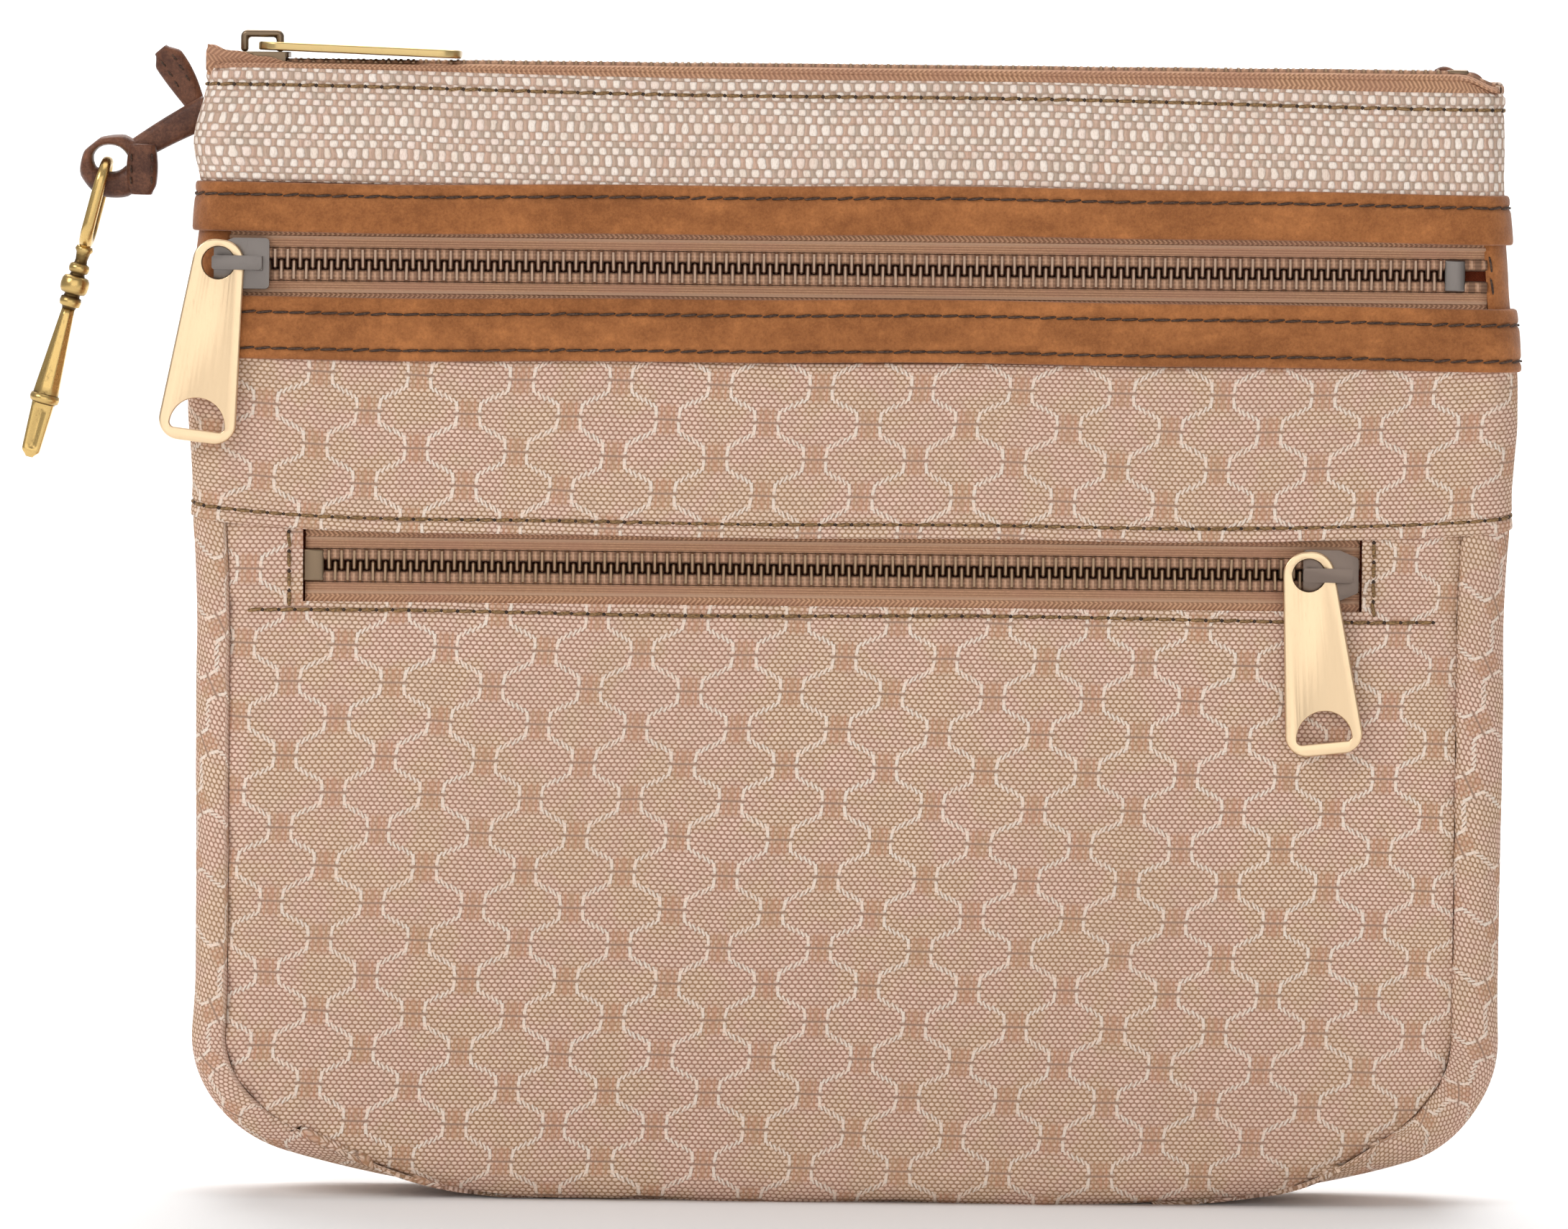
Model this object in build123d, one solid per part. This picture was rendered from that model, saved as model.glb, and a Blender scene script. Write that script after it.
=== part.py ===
"""Slim zipped fabric pouch with three zips, leather bands and a key charm.

Upright on its flat bottom: +X along its width, -Y out of its front, +Z up.
The origin is the centre of the flat bottom. Lengths are in millimetres.
"""

from build123d import *
from math import acos, asin, atan2, cos, degrees, pi, radians, sin, sqrt, tan
import os

# Pouch envelope
WIDTH = 253.0
HEIGHT = 217.0
BASE_HALF = 45.0  # half length of the straight stretch of the bottom
BOTTOM_BOW = 233.0  # radius of the bottom's outer stretches
CORNER = 25.0  # bottom corner radius
TOP_HALF_DEPTH = 8.0
LEAN = radians(2.9)  # lean of the upper front and back
BELLY_TOP = 105.0  # height where the straight lean ends
BELLY_RADIUS = 1339.0
EDGE = 6.0  # rounding of the long edges
CLOTH = 1.2
LEATHER_PROUD = 1.0
SEAM_GAP = 0.05

# Seams of the front
BAND_Z = 194.9
UPPER_WINDOW_Z = (173.2, 185.7)
UPPER_WINDOW_X = (-124.0, 121.0)
LOWER_BAND_Z = 161.4
FOLD_Z = 129.0
LOWER_WINDOW_Z = (115.0, FOLD_Z)
LOWER_WINDOW_X = (-105.6, 97.2)
SEAM_INSET = 8.0
SEAM_DROP = 5.5

# Pockets and linings, as depths behind the face of the wall
POCKET_FRONT = 2.3
POCKET_SIDE_FRONT = 4.6
POCKET_BACK = 8.2
POCKET_SHEET = 0.8
LINING_SHEET = 0.6
LINING_BEHIND_POCKETS = 8.6
LINING_BEHIND_WALL = 1.5
UPPER_POCKET = (-122.6, 122.6, 134.5, 190.0)
LOWER_POCKET = (-109.0, 101.0, 26.0, 133.4)
LINING_FLOOR = 6.6
LINING_STEP = 191.2
LINING_TOP = 214.4

# Zip chain
TOOTH_PITCH = 2.4
TOOTH_WIDTH = 1.1
TOOTH_REACH = 0.9  # how far a tooth crosses the chain's centre line
CHAIN_HALF = 3.1
SPINE_IN = 1.6
CHAIN_THICK = 2.2
TAPE_THICK = 0.6
TAPE_GAP = 0.05
TAPE_LEFT = -121.4  # pocket tapes stop short of the rounded side here
CHAIN_DEPTH = 1.65  # of the chain's middle behind the wall's face

# Slider and pull
SLIDER_HALF = 5.3
SLIDER_REAR_HALF = 4.85
SLIDER_NOSE_HALF = 3.3
CHANNEL_HALF = 1.35
PLATE = 1.0
LEG_RADIUS = 0.9
LEG_X = 4.3
REAR_LEG_X = (2.7, 4.1)
BRIDGE_WIDTH = 2.7
BRIDGE_UNDER = 3.15
BRIDGE_TOP = 4.15
PULL_BACK = 1.35
PULL_THICK = 1.6
PULL_LENGTH = 39.0
EYE_OUTER = 4.5
EYE_HOLE = 3.1
PULL_FOOT = 15.4
PULL_CORNER = 4.0
PULL_SILL = 2.3  # metal below the pull's lower window
PULL_WINDOW = 5.3

# Where the zips sit
UPPER_SLIDER_X = -117.9
UPPER_STOP_X = 112.4
UPPER_CHAIN_Z = 179.45
UPPER_PULL_TILT = -7.0
LOWER_SLIDER_X = 91.2
LOWER_STOP_X = -101.6
LOWER_CHAIN_Z = 121.95
LOWER_PULL_TILT = 6.0
TOP_SLIDER_X = -114.8
TOP_STOP_X = 113.0
TOP_CHAIN_Z = 217.6
TOP_CHAIN_ENDS = (-123.6, 122.6)
TOP_TAPE_EDGE = 7.5
ARCH_WINDOW_HALF = 2.7
ARCH_LEG = 1.4
ARCH_UNDER = 5.15
ARCH_TOP = 6.5
TOP_PULL_PITCH = 2.0
STOP_LENGTH = 4.0
STOP_HALF_HEIGHT = 3.1
STOP_THICK = 2.4

# Charm on its strap at the left side
LOOP_X = -144.1
LOOP_Y = 1.5
LOOP_Z = 200.5
LOOP_OUTER = 6.5
LOOP_HOLE = 4.3
STRAP_THICK = 5.0
STRAP_WIDTH = 6.2
STRAP_END = (-126.55, 207.0)
KEY_TILT = 14.6
WIRE = 1.1
BOW_HALF = 4.5
BOW_LENGTH = 18.3
KEY_LENGTH = 60.0
RING_DROP = 2.05  # of the bow's top wire below the loop's centre


def half_depth(z):
    """Half the pouch's depth at height z."""
    top = TOP_HALF_DEPTH + (HEIGHT - z) * tan(LEAN)
    if z >= BELLY_TOP:
        return top
    at_belly = TOP_HALF_DEPTH + (HEIGHT - BELLY_TOP) * tan(LEAN)
    centre_z = BELLY_TOP - BELLY_RADIUS * sin(LEAN)
    centre_y = at_belly - BELLY_RADIUS * cos(LEAN)
    return centre_y + sqrt(BELLY_RADIUS**2 - (z - centre_z) ** 2)


def outline(inset, top, drop=0.0):
    """Front outline: straight sides, big round bottom corners, nearly flat bottom."""
    half = WIDTH / 2 - inset
    bow = BOTTOM_BOW - inset
    corner = CORNER - inset
    corner_x = WIDTH / 2 - CORNER
    turn = asin((corner_x - BASE_HALF) / (BOTTOM_BOW - CORNER))
    corner_z = BOTTOM_BOW - (BOTTOM_BOW - CORNER) * cos(turn) - drop
    bow_z = BOTTOM_BOW - drop

    def on_bow(angle):
        return (BASE_HALF + bow * sin(angle), bow_z - bow * cos(angle))

    def on_corner(angle):
        return (corner_x + corner * sin(angle), corner_z - corner * cos(angle))

    side = (half, corner_z)
    right = make_face(
        [
            Line((0, inset - drop), on_bow(0)),
            ThreePointArc(on_bow(0), on_bow(turn / 2), on_bow(turn)),
            ThreePointArc(on_corner(turn), on_corner(turn / 2 + pi / 4), side),
            Line(side, (half, top)),
            Line((half, top), (0, top)),
            Line((0, top), (0, inset - drop)),
        ]
    )
    return right + mirror(right, Plane.YZ)


def side_profile(inset, top, low=-20.0):
    """Side view of the pouch: leaning front and back over a gentle belly."""
    at_belly = TOP_HALF_DEPTH + (HEIGHT - BELLY_TOP) * tan(LEAN)
    centre_y = -at_belly + BELLY_RADIUS * cos(LEAN)
    centre_z = BELLY_TOP - BELLY_RADIUS * sin(LEAN)
    radius = BELLY_RADIUS - inset

    def on_belly(z):
        return (centre_y - sqrt(radius**2 - (z - centre_z) ** 2), z)

    knee = (centre_y - radius * cos(LEAN), centre_z + radius * sin(LEAN))
    top_y = -(TOP_HALF_DEPTH + (HEIGHT - top) * tan(LEAN)) + inset / cos(LEAN)
    foot = on_belly(low)
    left = make_face(
        [
            Line((top_y, top), knee),
            ThreePointArc(knee, on_belly((low + knee[1]) / 2), foot),
            Line(foot, (0, low)),
            Line((0, low), (0, top)),
            Line((0, top), (top_y, top)),
        ]
    )
    return left + mirror(left, Plane.YZ)


def box_between(x, y, z):
    """Box between two limits on each axis."""
    corner = Vector(min(x), min(y), min(z))
    size = (abs(x[1] - x[0]), abs(y[1] - y[0]), abs(z[1] - z[0]))
    return Pos(corner) * Box(*size, align=(Align.MIN, Align.MIN, Align.MIN))


def envelope(inset, top):
    """Whole pouch volume, taken in by inset on every side but the top."""
    front = extrude(Plane.XZ * outline(inset, top), amount=60, both=True)
    sides = extrude(Plane.YZ * side_profile(inset, top), amount=200, both=True)
    block = front & sides

    def is_long_edge(edge):
        middle = edge.center()
        on_knee = abs(middle.X) < 1 and abs(middle.Z - BELLY_TOP) < 8
        return abs(middle.Y) > 4 and middle.Z < top - 0.5 and not on_knee

    edges = [edge for edge in block.edges() if is_long_edge(edge)]
    return fillet(edges, EDGE - inset)


def depth_layer(near, far, x, z):
    """Sheet behind the front wall between two depths, within limits of x and z."""
    outer = extrude(Plane.YZ * side_profile(near, HEIGHT + 4), amount=200, both=True)
    inner = extrude(Plane.YZ * side_profile(far, HEIGHT + 4), amount=200, both=True)
    return (outer - inner) & box_between(x, (-60, 0), z)


def seam_region(inset, edge_depth):
    """Space of the side strip: round the lower edge, and between the long edges above."""
    window = extrude(Plane.XZ * outline(inset, FOLD_Z, SEAM_DROP), amount=70, both=True)
    below = box_between((-200, 200), (-60, 60), (-10, FOLD_Z)) - window
    strip = extrude(Plane.YZ * side_profile(edge_depth, HEIGHT + 4), amount=200, both=True)
    sides = strip - box_between((-100, 100), (-60, 60), (-30, 260))
    return below + (sides & box_between((-200, 200), (-60, 60), (FOLD_Z, HEIGHT + 3)))


def slice_z(solid, low, high):
    """Part of a solid between two heights, less the seam gap."""
    return solid & box_between((-200, 200), (-80, 80), (low + SEAM_GAP, high - SEAM_GAP))


def wall_plane(z, depth=0.0):
    """Plane on the leaning front wall: x along the pouch, y up it, z out of it."""
    lean = Vector(0, -cos(LEAN), sin(LEAN))
    face = Vector(0, -(TOP_HALF_DEPTH + (HEIGHT - z) * tan(LEAN)), z)
    return Plane(origin=face - lean * depth, x_dir=(1, 0, 0), z_dir=lean)


def top_plane():
    """Plane through the middle of the top chain, facing up."""
    return Plane(origin=(0, 0, TOP_CHAIN_Z), x_dir=(1, 0, 0), z_dir=(0, 0, 1))


def walls():
    """Cloth and leather walls of the pouch, each a thin shell of its own."""
    outer = envelope(0, HEIGHT)
    inner = envelope(CLOTH, HEIGHT + 4)
    proud = envelope(-LEATHER_PROUD, HEIGHT)
    cloth = outer - inner
    leather = proud - inner
    front_half = box_between((-200, 200), (-80, 0), (-10, 260))
    back_half = box_between((-200, 200), (0, 80), (-10, 260))
    strip = seam_region(SEAM_INSET, EDGE)
    clear = seam_region(SEAM_INSET + SEAM_GAP * 2, EDGE - SEAM_GAP * 2)
    front_cloth = (cloth & front_half) - clear
    back_cloth = (cloth & back_half) - clear
    front_leather = (leather & front_half) - clear
    left = box_between((-200, UPPER_WINDOW_X[0]), (-80, 0), (0, 260))
    right = box_between((UPPER_WINDOW_X[1], 200), (-80, 0), (0, 260))
    window = box_between(LOWER_WINDOW_X, (-80, 0), (LOWER_WINDOW_Z[0], 200))
    ends = slice_z(front_leather, *UPPER_WINDOW_Z)
    return {
        "front_top_band": slice_z(front_cloth, BAND_Z, HEIGHT + 1),
        "back_top_band": slice_z(back_cloth, BAND_Z, HEIGHT + 1),
        "upper_leather_band": slice_z(front_leather, UPPER_WINDOW_Z[1], BAND_Z),
        "lower_leather_band": slice_z(front_leather, LOWER_BAND_Z, UPPER_WINDOW_Z[0]),
        "left_leather_end": ends & left,
        "right_leather_end": ends & right,
        "front_upper_panel": slice_z(front_cloth, FOLD_Z, LOWER_BAND_Z),
        "front_lower_panel": slice_z(front_cloth, -5, FOLD_Z) - window,
        "back_panel": slice_z(back_cloth, -5, BAND_Z),
        "side_strip": cloth & strip,
    }


def pocket_back(limits):
    """Back sheet of a pocket bag, whose mouth is its zip."""
    left, right, low, high = limits
    return depth_layer(POCKET_BACK - POCKET_SHEET, POCKET_BACK, (left, right), (low, high))


def pocket_rim(limits):
    """Narrow walls that join a pocket bag's back sheet to the front wall."""
    left, right, low, high = limits
    sheet = POCKET_SHEET
    floor = depth_layer(POCKET_FRONT, POCKET_BACK - sheet, (left, right), (low, low + sheet))
    roof = depth_layer(POCKET_FRONT, POCKET_BACK - sheet, (left, right), (high - sheet, high))
    rim = floor + roof
    for x in ((left, left + sheet), (right - sheet, right)):
        rim += depth_layer(POCKET_SIDE_FRONT, POCKET_BACK - sheet, x, (low, high))
    return rim


def main_lining():
    """Lining of the main compartment: front and back sheets and a floor."""
    x = (-118, 118)
    deep = LINING_BEHIND_POCKETS
    near = LINING_BEHIND_WALL
    sheet = LINING_SHEET
    floor_z = (LINING_FLOOR, LINING_FLOOR + sheet)
    step_z = (LINING_STEP, LINING_STEP + sheet)
    front = depth_layer(deep, deep + sheet, x, (LINING_FLOOR, step_z[1]))
    front += depth_layer(near, deep + sheet, x, step_z)
    front += depth_layer(near, near + sheet, x, (LINING_STEP, LINING_TOP))
    back = mirror(depth_layer(near, near + sheet, x, (LINING_FLOOR, LINING_TOP)), Plane.XZ)
    base = half_depth(LINING_FLOOR)
    floor = box_between(x, (deep + 0.1 - base, base - near - 0.1), floor_z)
    body = front + back + floor
    return body & extrude(Plane.XZ * outline(6.5, HEIGHT), amount=60, both=True)


def tooth_row(start, end, side):
    """One row of zip teeth, side +1 above the centre line and -1 below it."""
    count = int((end - start - 1.0) / TOOTH_PITCH)
    phase = 0.0 if side > 0 else TOOTH_PITCH / 2
    points = [(start, CHAIN_HALF * side), (start, SPINE_IN * side)]
    for index in range(count):
        left = start + 0.15 + phase + index * TOOTH_PITCH
        right = left + TOOTH_WIDTH
        points += [(left, SPINE_IN * side), (left, -TOOTH_REACH * side)]
        points += [(right, -TOOTH_REACH * side), (right, SPINE_IN * side)]
    points += [(end, SPINE_IN * side), (end, CHAIN_HALF * side)]
    face = make_face(Polyline(*points, close=True))
    return extrude(face, amount=CHAIN_THICK / 2, both=True)


def tape(start, end, side, outer):
    """One zip tape, a flat strip from the teeth out to its sewn edge."""
    y = (side * (CHAIN_HALF + TAPE_GAP), side * outer)
    return box_between((start, end), y, (-TAPE_THICK / 2, TAPE_THICK / 2))


def stop_clip(x):
    """Metal clip across both rows at the end of a chain."""
    size = (STOP_LENGTH, STOP_HALF_HEIGHT * 2, STOP_THICK)
    clip = Pos(x + STOP_LENGTH / 2, 0, 0) * Box(*size)
    return fillet(clip.edges().filter_by(Axis.X), 0.5)


def slider_body():
    """Slider with its nose towards -x: two plates, side lips and the wedge."""
    half = SLIDER_HALF
    rear = SLIDER_REAR_HALF
    nose = SLIDER_NOSE_HALF
    outline_points = [(-half, -nose), (-half, nose), (-1.6, rear), (half, rear)]
    outline_points += [(half, -rear), (-1.6, -rear)]
    face = fillet(make_face(Polyline(*outline_points, close=True)).vertices(), 0.8)
    plate = extrude(face, amount=PLATE)
    body = Pos(0, 0, CHANNEL_HALF) * plate + Pos(0, 0, -CHANNEL_HALF - PLATE) * plate
    wedge = make_face(Polyline((-half + 0.3, 0), (-4.0, 1.2), (-1.2, 0), (-4.0, -1.2), close=True))
    body += extrude(wedge, amount=CHANNEL_HALF + PLATE / 2, both=True)
    for side in (-1, 1):
        for face_z in (-1, 1):
            lip_y = (side * (rear - 0.9), side * rear)
            lip_z = (face_z * 0.6, face_z * (CHANNEL_HALF + 0.3))
            body += box_between((-1.2, half - 0.6), lip_y, lip_z)
    return body


def pocket_bridge():
    """Bridge of a pocket slider: a round leg towards -x, a bar and a flat leg."""
    base = CHANNEL_HALF + PLATE
    lift = CHAIN_DEPTH
    under = BRIDGE_UNDER + lift
    top = BRIDGE_TOP + lift
    half = BRIDGE_WIDTH / 2
    leg = Pos(-LEG_X, 0, base) * Cylinder(
        LEG_RADIUS, under - base + 0.2, align=(Align.CENTER, Align.CENTER, Align.MIN)
    )
    bar = box_between((-LEG_X - 1.2, REAR_LEG_X[1]), (-half, half), (under, top))
    bar = fillet(bar.edges().filter_by(Axis.Z), 0.6)
    rear = box_between(REAR_LEG_X, (-half, half), (base, under + 0.2))
    return bar + leg + rear


def top_bridge():
    """Arch of the top slider, with a leg at each end."""
    base = CHANNEL_HALF + PLATE
    half = BRIDGE_WIDTH / 2
    reach = ARCH_WINDOW_HALF + ARCH_LEG
    arch = box_between((-reach, reach), (-half, half), (base, ARCH_TOP))
    arch = fillet(arch.edges().filter_by(Axis.Y).group_by(Axis.Z)[-1], 1.3)
    window = (-ARCH_WINDOW_HALF, ARCH_WINDOW_HALF)
    return arch - box_between(window, (-half - 1, half + 1), (base - 1, ARCH_UNDER))


def pull_tab():
    """Pull hanging along -y from the centre of its eye, flat on z = 0."""
    foot_y = EYE_OUTER - PULL_LENGTH
    head = EYE_OUTER + 0.1
    foot = PULL_FOOT / 2
    corners = [(-head, EYE_OUTER), (head, EYE_OUTER), (foot, foot_y), (-foot, foot_y)]
    blank = make_face(Polyline(*corners, close=True))
    by_height = blank.vertices().group_by(Axis.Y)
    blank = fillet(by_height[-1], EYE_OUTER - 0.1)
    blank = fillet(blank.vertices().group_by(Axis.Y)[0], PULL_CORNER)
    tab = extrude(blank, amount=PULL_THICK)
    rims = tab.edges().filter_by(lambda edge: abs(edge.center().Z - PULL_THICK / 2) > 0.7)
    tab = fillet(rims, 0.4)
    sill = foot_y + PULL_SILL
    window = Pos(0, sill + 0.8) * Circle(PULL_WINDOW)
    window &= Pos(0, sill + 10) * Rectangle(30, 20)
    window = fillet(window.vertices(), 1.0)
    return tab - extrude(window + Circle(EYE_HOLE), amount=PULL_THICK)


def pocket_zip(name, chain_z, window_x, window_z, slider_x, stop_x, nose, tilt):
    """Every piece of one pocket zip, its slider's nose towards nose times +x."""
    chain = wall_plane(chain_z, CHAIN_DEPTH)
    face = wall_plane(chain_z)
    margin = (window_z[1] - window_z[0]) / 2 + 3.0
    ends = (max(window_x[0] + 0.4, TAPE_LEFT), window_x[1] - 0.4)
    if nose < 0:
        rows = (slider_x + 0.8, stop_x - 0.2)
        clip_x = stop_x
    else:
        rows = (stop_x + 0.2, slider_x - 0.8)
        clip_x = stop_x - STOP_LENGTH
    body = slider_body()
    if nose > 0:
        body = mirror(body, Plane.YZ)
    bridge = pocket_bridge()
    eye = Pos(slider_x - LEG_X, 0, PULL_BACK) * Rot(0, 0, tilt)
    return {
        f"{name}_zip_high_tape": chain * tape(*ends, 1, margin),
        f"{name}_zip_low_tape": chain * tape(*ends, -1, margin),
        f"{name}_zip_high_teeth": chain * tooth_row(*rows, 1),
        f"{name}_zip_low_teeth": chain * tooth_row(*rows, -1),
        f"{name}_zip_stop": chain * stop_clip(clip_x),
        f"{name}_slider_body": chain * (Pos(slider_x, 0, 0) * body),
        f"{name}_slider_bridge": chain * (Pos(slider_x, 0, 0) * bridge),
        f"{name}_pull": face * (eye * pull_tab()),
    }


def top_zip():
    """Every piece of the top zip, its two halves able to part over the mouth."""
    chain = top_plane()
    rows = (TOP_SLIDER_X + 0.8, TOP_STOP_X - 0.2)
    arch_z = CHANNEL_HALF + PLATE + 1.15
    pull = Rot(0, 0, 90) * pull_tab()
    pull = Pos(0, 0, -PULL_THICK / 2) * pull
    pull = Pos((EYE_HOLE + EYE_OUTER) / 2, 0, 0) * pull
    pull = Pos(TOP_SLIDER_X, 0, arch_z) * Rot(0, TOP_PULL_PITCH, 0) * pull
    fold_x = TOP_CHAIN_ENDS[0] - 1.6
    return {
        "top_zip_front_tape": chain * tape(*TOP_CHAIN_ENDS, -1, TOP_TAPE_EDGE),
        "top_zip_back_tape": chain * tape(*TOP_CHAIN_ENDS, 1, TOP_TAPE_EDGE),
        "top_zip_front_teeth": chain * tooth_row(*rows, -1),
        "top_zip_back_teeth": chain * tooth_row(*rows, 1),
        "top_zip_stop": chain * stop_clip(TOP_STOP_X),
        "top_zip_folded_end": box_between((fold_x, fold_x + 1.3), (-5.5, 5.5), (217.2, 221.8)),
        "top_slider_body": chain * (Pos(TOP_SLIDER_X, 0, 0) * slider_body()),
        "top_slider_bridge": chain * (Pos(TOP_SLIDER_X, 0, 0) * top_bridge()),
        "top_pull": chain * pull,
    }


def strap_tabs():
    """Leather tabs at the two ends of the top zip."""
    left = fillet(Box(4.6, 3.0, 13.0).edges().filter_by(Axis.Y), 2.0)
    right = fillet(Box(8.0, 2.4, 1.9).edges().filter_by(Axis.Y), 0.8)
    return {
        "left_leather_tab": Pos(-131.0, 5.8, 215.2) * Rot(0, -24, 0) * left,
        "right_leather_tab": Pos(116.0, 9.6, 218.1) * right,
    }


def charm_strap():
    """Strap from the side seam to its loop, with the hole the bow hangs in."""
    end_x, end_z = STRAP_END
    reach = Vector(end_x - LOOP_X, end_z - LOOP_Z)
    slope = degrees(atan2(reach.Y, reach.X))
    length = reach.length + 4
    view = Plane(origin=(LOOP_X, LOOP_Y, LOOP_Z), x_dir=(1, 0, 0), z_dir=(0, -1, 0))
    band = Rot(0, 0, slope) * Pos(length / 2, 0) * Rectangle(length, STRAP_WIDTH)
    head = Circle(LOOP_OUTER) + band - Circle(LOOP_HOLE)
    strap = view * extrude(head, amount=STRAP_THICK / 2, both=True)
    strap -= box_between((end_x, end_x + 20), (-20, 20), (end_z - 20, end_z + 20))
    keeper = Pos(7.2, -6.4) * Rot(0, 0, 20) * RectangleRounded(6.4, 8.6, 1.2)
    keeper -= Circle(LOOP_OUTER + 0.05)
    keeper -= Rot(0, 0, slope) * Pos(length / 2, 0) * Rectangle(length, STRAP_WIDTH + 0.1)
    return {
        "charm_strap": strap,
        "charm_strap_end": view * extrude(keeper, amount=STRAP_THICK / 2 + 0.4, both=True),
    }


def key_plane():
    """Plane of the key's bow: origin at its top wire, y back up the key."""
    tilt = radians(KEY_TILT)
    up = Vector(sin(tilt), 0, cos(tilt))
    across = Vector(0, 1, 0)
    origin = Vector(LOOP_X, LOOP_Y, LOOP_Z) - up * RING_DROP
    return Plane(origin=origin, x_dir=across, z_dir=across.cross(up))


def key_charm():
    """Key charm in four cast pieces, hanging along -y from its bow's top wire."""
    place = key_plane()
    legs = BOW_LENGTH - 2 * (BOW_HALF + WIRE)
    path = Pos(0, -BOW_HALF - legs / 2) * SlotCenterToCenter(legs, BOW_HALF * 2, 90)
    rail = path.wire()
    start = rail @ 0
    section = Plane(origin=start, z_dir=rail % 0) * Circle(WIRE)
    bow = sweep(section, path=rail)
    neck = BOW_LENGTH - WIRE
    tip = KEY_LENGTH - WIRE

    def turned(*points):
        """Solid of revolution about the key from pairs of distance and radius."""
        rim = [(radius, -distance) for distance, radius in points]
        low = (0, rim[-1][1])
        high = (0, rim[0][1])
        face = make_face(Polyline(high, *rim, low, close=True))
        return revolve(face, Axis.Y)

    beads = turned(
        (neck, 1.4), (20.2, 1.2), (20.6, 1.9), (22.2, 1.9), (22.6, 1.3), (23.2, 2.2),
        (24.0, 2.7), (25.4, 2.7), (26.2, 2.1), (26.6, 1.4), (27.2, 2.0), (28.8, 2.0), (29.2, 1.2),
    )
    beads -= bow
    shaft = turned((29.2, 1.2), (46.4, 2.4), (46.6, 2.75), (48.0, 2.75), (48.2, 2.2))
    blade = box_between((-1.6, 1.6), (-tip, -48.2), (-2.2, 2.2))
    blade = chamfer(blade.edges().filter_by(Axis.X).group_by(Axis.Y)[0], 0.9)
    blade -= box_between((-1.0, 1.0), (-tip + 2.4, -50.0), (1.6, 3.0))
    blade -= Pos(0, -tip + 5.2, 0) * Box(5.0, 2.4, 1.2)
    return {
        "key_bow": place * bow,
        "key_beads": place * beads,
        "key_shaft": place * shaft,
        "key_blade": place * blade,
    }


def all_parts():
    """Every node of the pouch by name."""
    parts = walls()
    parts["upper_pocket_bag"] = pocket_back(UPPER_POCKET)
    parts["upper_pocket_rim"] = pocket_rim(UPPER_POCKET)
    parts["lower_pocket_bag"] = pocket_back(LOWER_POCKET)
    parts["lower_pocket_rim"] = pocket_rim(LOWER_POCKET)
    parts["main_lining"] = main_lining()
    parts.update(
        pocket_zip("upper", UPPER_CHAIN_Z, UPPER_WINDOW_X, UPPER_WINDOW_Z,
                   UPPER_SLIDER_X, UPPER_STOP_X, -1, UPPER_PULL_TILT)
    )
    parts.update(
        pocket_zip("lower", LOWER_CHAIN_Z, LOWER_WINDOW_X, LOWER_WINDOW_Z,
                   LOWER_SLIDER_X, LOWER_STOP_X, 1, LOWER_PULL_TILT)
    )
    parts.update(top_zip())
    parts.update(strap_tabs())
    parts.update(charm_strap())
    parts.update(key_charm())
    return parts


os.makedirs("parts", exist_ok=True)
for name, shape in all_parts().items():
    export_step(shape, f"parts/{name}.step")
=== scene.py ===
"""Finished look of a slim zipped pouch with leather bands and a key charm.

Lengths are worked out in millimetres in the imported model's own frame (+X along
the pouch, -Y out of its front, +Z up) and are turned into metres when a mesh is made.
"""

from dataclasses import dataclass
from enum import Enum
import logging
import math
from typing import Callable, Iterable, Sequence

import bmesh
import bpy
from mathutils import Euler, Matrix, Vector
import numpy as np


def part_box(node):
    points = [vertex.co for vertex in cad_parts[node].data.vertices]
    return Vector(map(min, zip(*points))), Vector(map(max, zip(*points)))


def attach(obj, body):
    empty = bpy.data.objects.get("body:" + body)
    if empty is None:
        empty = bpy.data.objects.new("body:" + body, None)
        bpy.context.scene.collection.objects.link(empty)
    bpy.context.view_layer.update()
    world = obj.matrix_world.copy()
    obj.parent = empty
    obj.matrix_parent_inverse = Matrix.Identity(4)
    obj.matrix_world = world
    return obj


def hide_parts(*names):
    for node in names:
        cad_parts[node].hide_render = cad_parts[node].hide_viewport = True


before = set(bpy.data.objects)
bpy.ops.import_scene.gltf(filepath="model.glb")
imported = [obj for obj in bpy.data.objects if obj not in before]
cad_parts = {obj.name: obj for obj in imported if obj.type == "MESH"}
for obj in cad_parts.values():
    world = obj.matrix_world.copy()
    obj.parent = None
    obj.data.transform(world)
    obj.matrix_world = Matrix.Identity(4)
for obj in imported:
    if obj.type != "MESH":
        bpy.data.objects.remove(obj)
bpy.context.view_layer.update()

Array = np.ndarray
Colour = tuple[float, float, float]
LOG = logging.getLogger("pouch")
MM = 0.001
CLOTH_MAP = "cloth"
TOOTH_PITCH = 2.4
UPPER_CHAIN_Z = 179.45
LOWER_CHAIN_Z = 121.95
TOP_CHAIN_Z = 217.6
TOP_FALL = 2.4  # how far the top zip's right end drops behind the band
TOP_FALL_X = (115.5, 122.5)
SEAM_STEP = 1.6
RECESS = "recess"


# ---------------------------------------------------------------- numbers


def ease(low: float, high: float, value: Array) -> Array:
    """Smooth step from 0 to 1.

    Args:
        low: Value where the step starts.
        high: Value where it ends.
        value: Where to read it.

    Returns:
        3 t squared minus 2 t cubed, for t the clipped share of the way.
    """
    share = np.clip((np.asarray(value, float) - low) / (high - low), 0.0, 1.0)
    return share * share * (3.0 - 2.0 * share)


def bell(centre: float, width: float, value: Array) -> Array:
    """Gaussian bump of height 1 about a centre."""
    return np.exp(-(((np.asarray(value, float) - centre) / width) ** 2))


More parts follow.
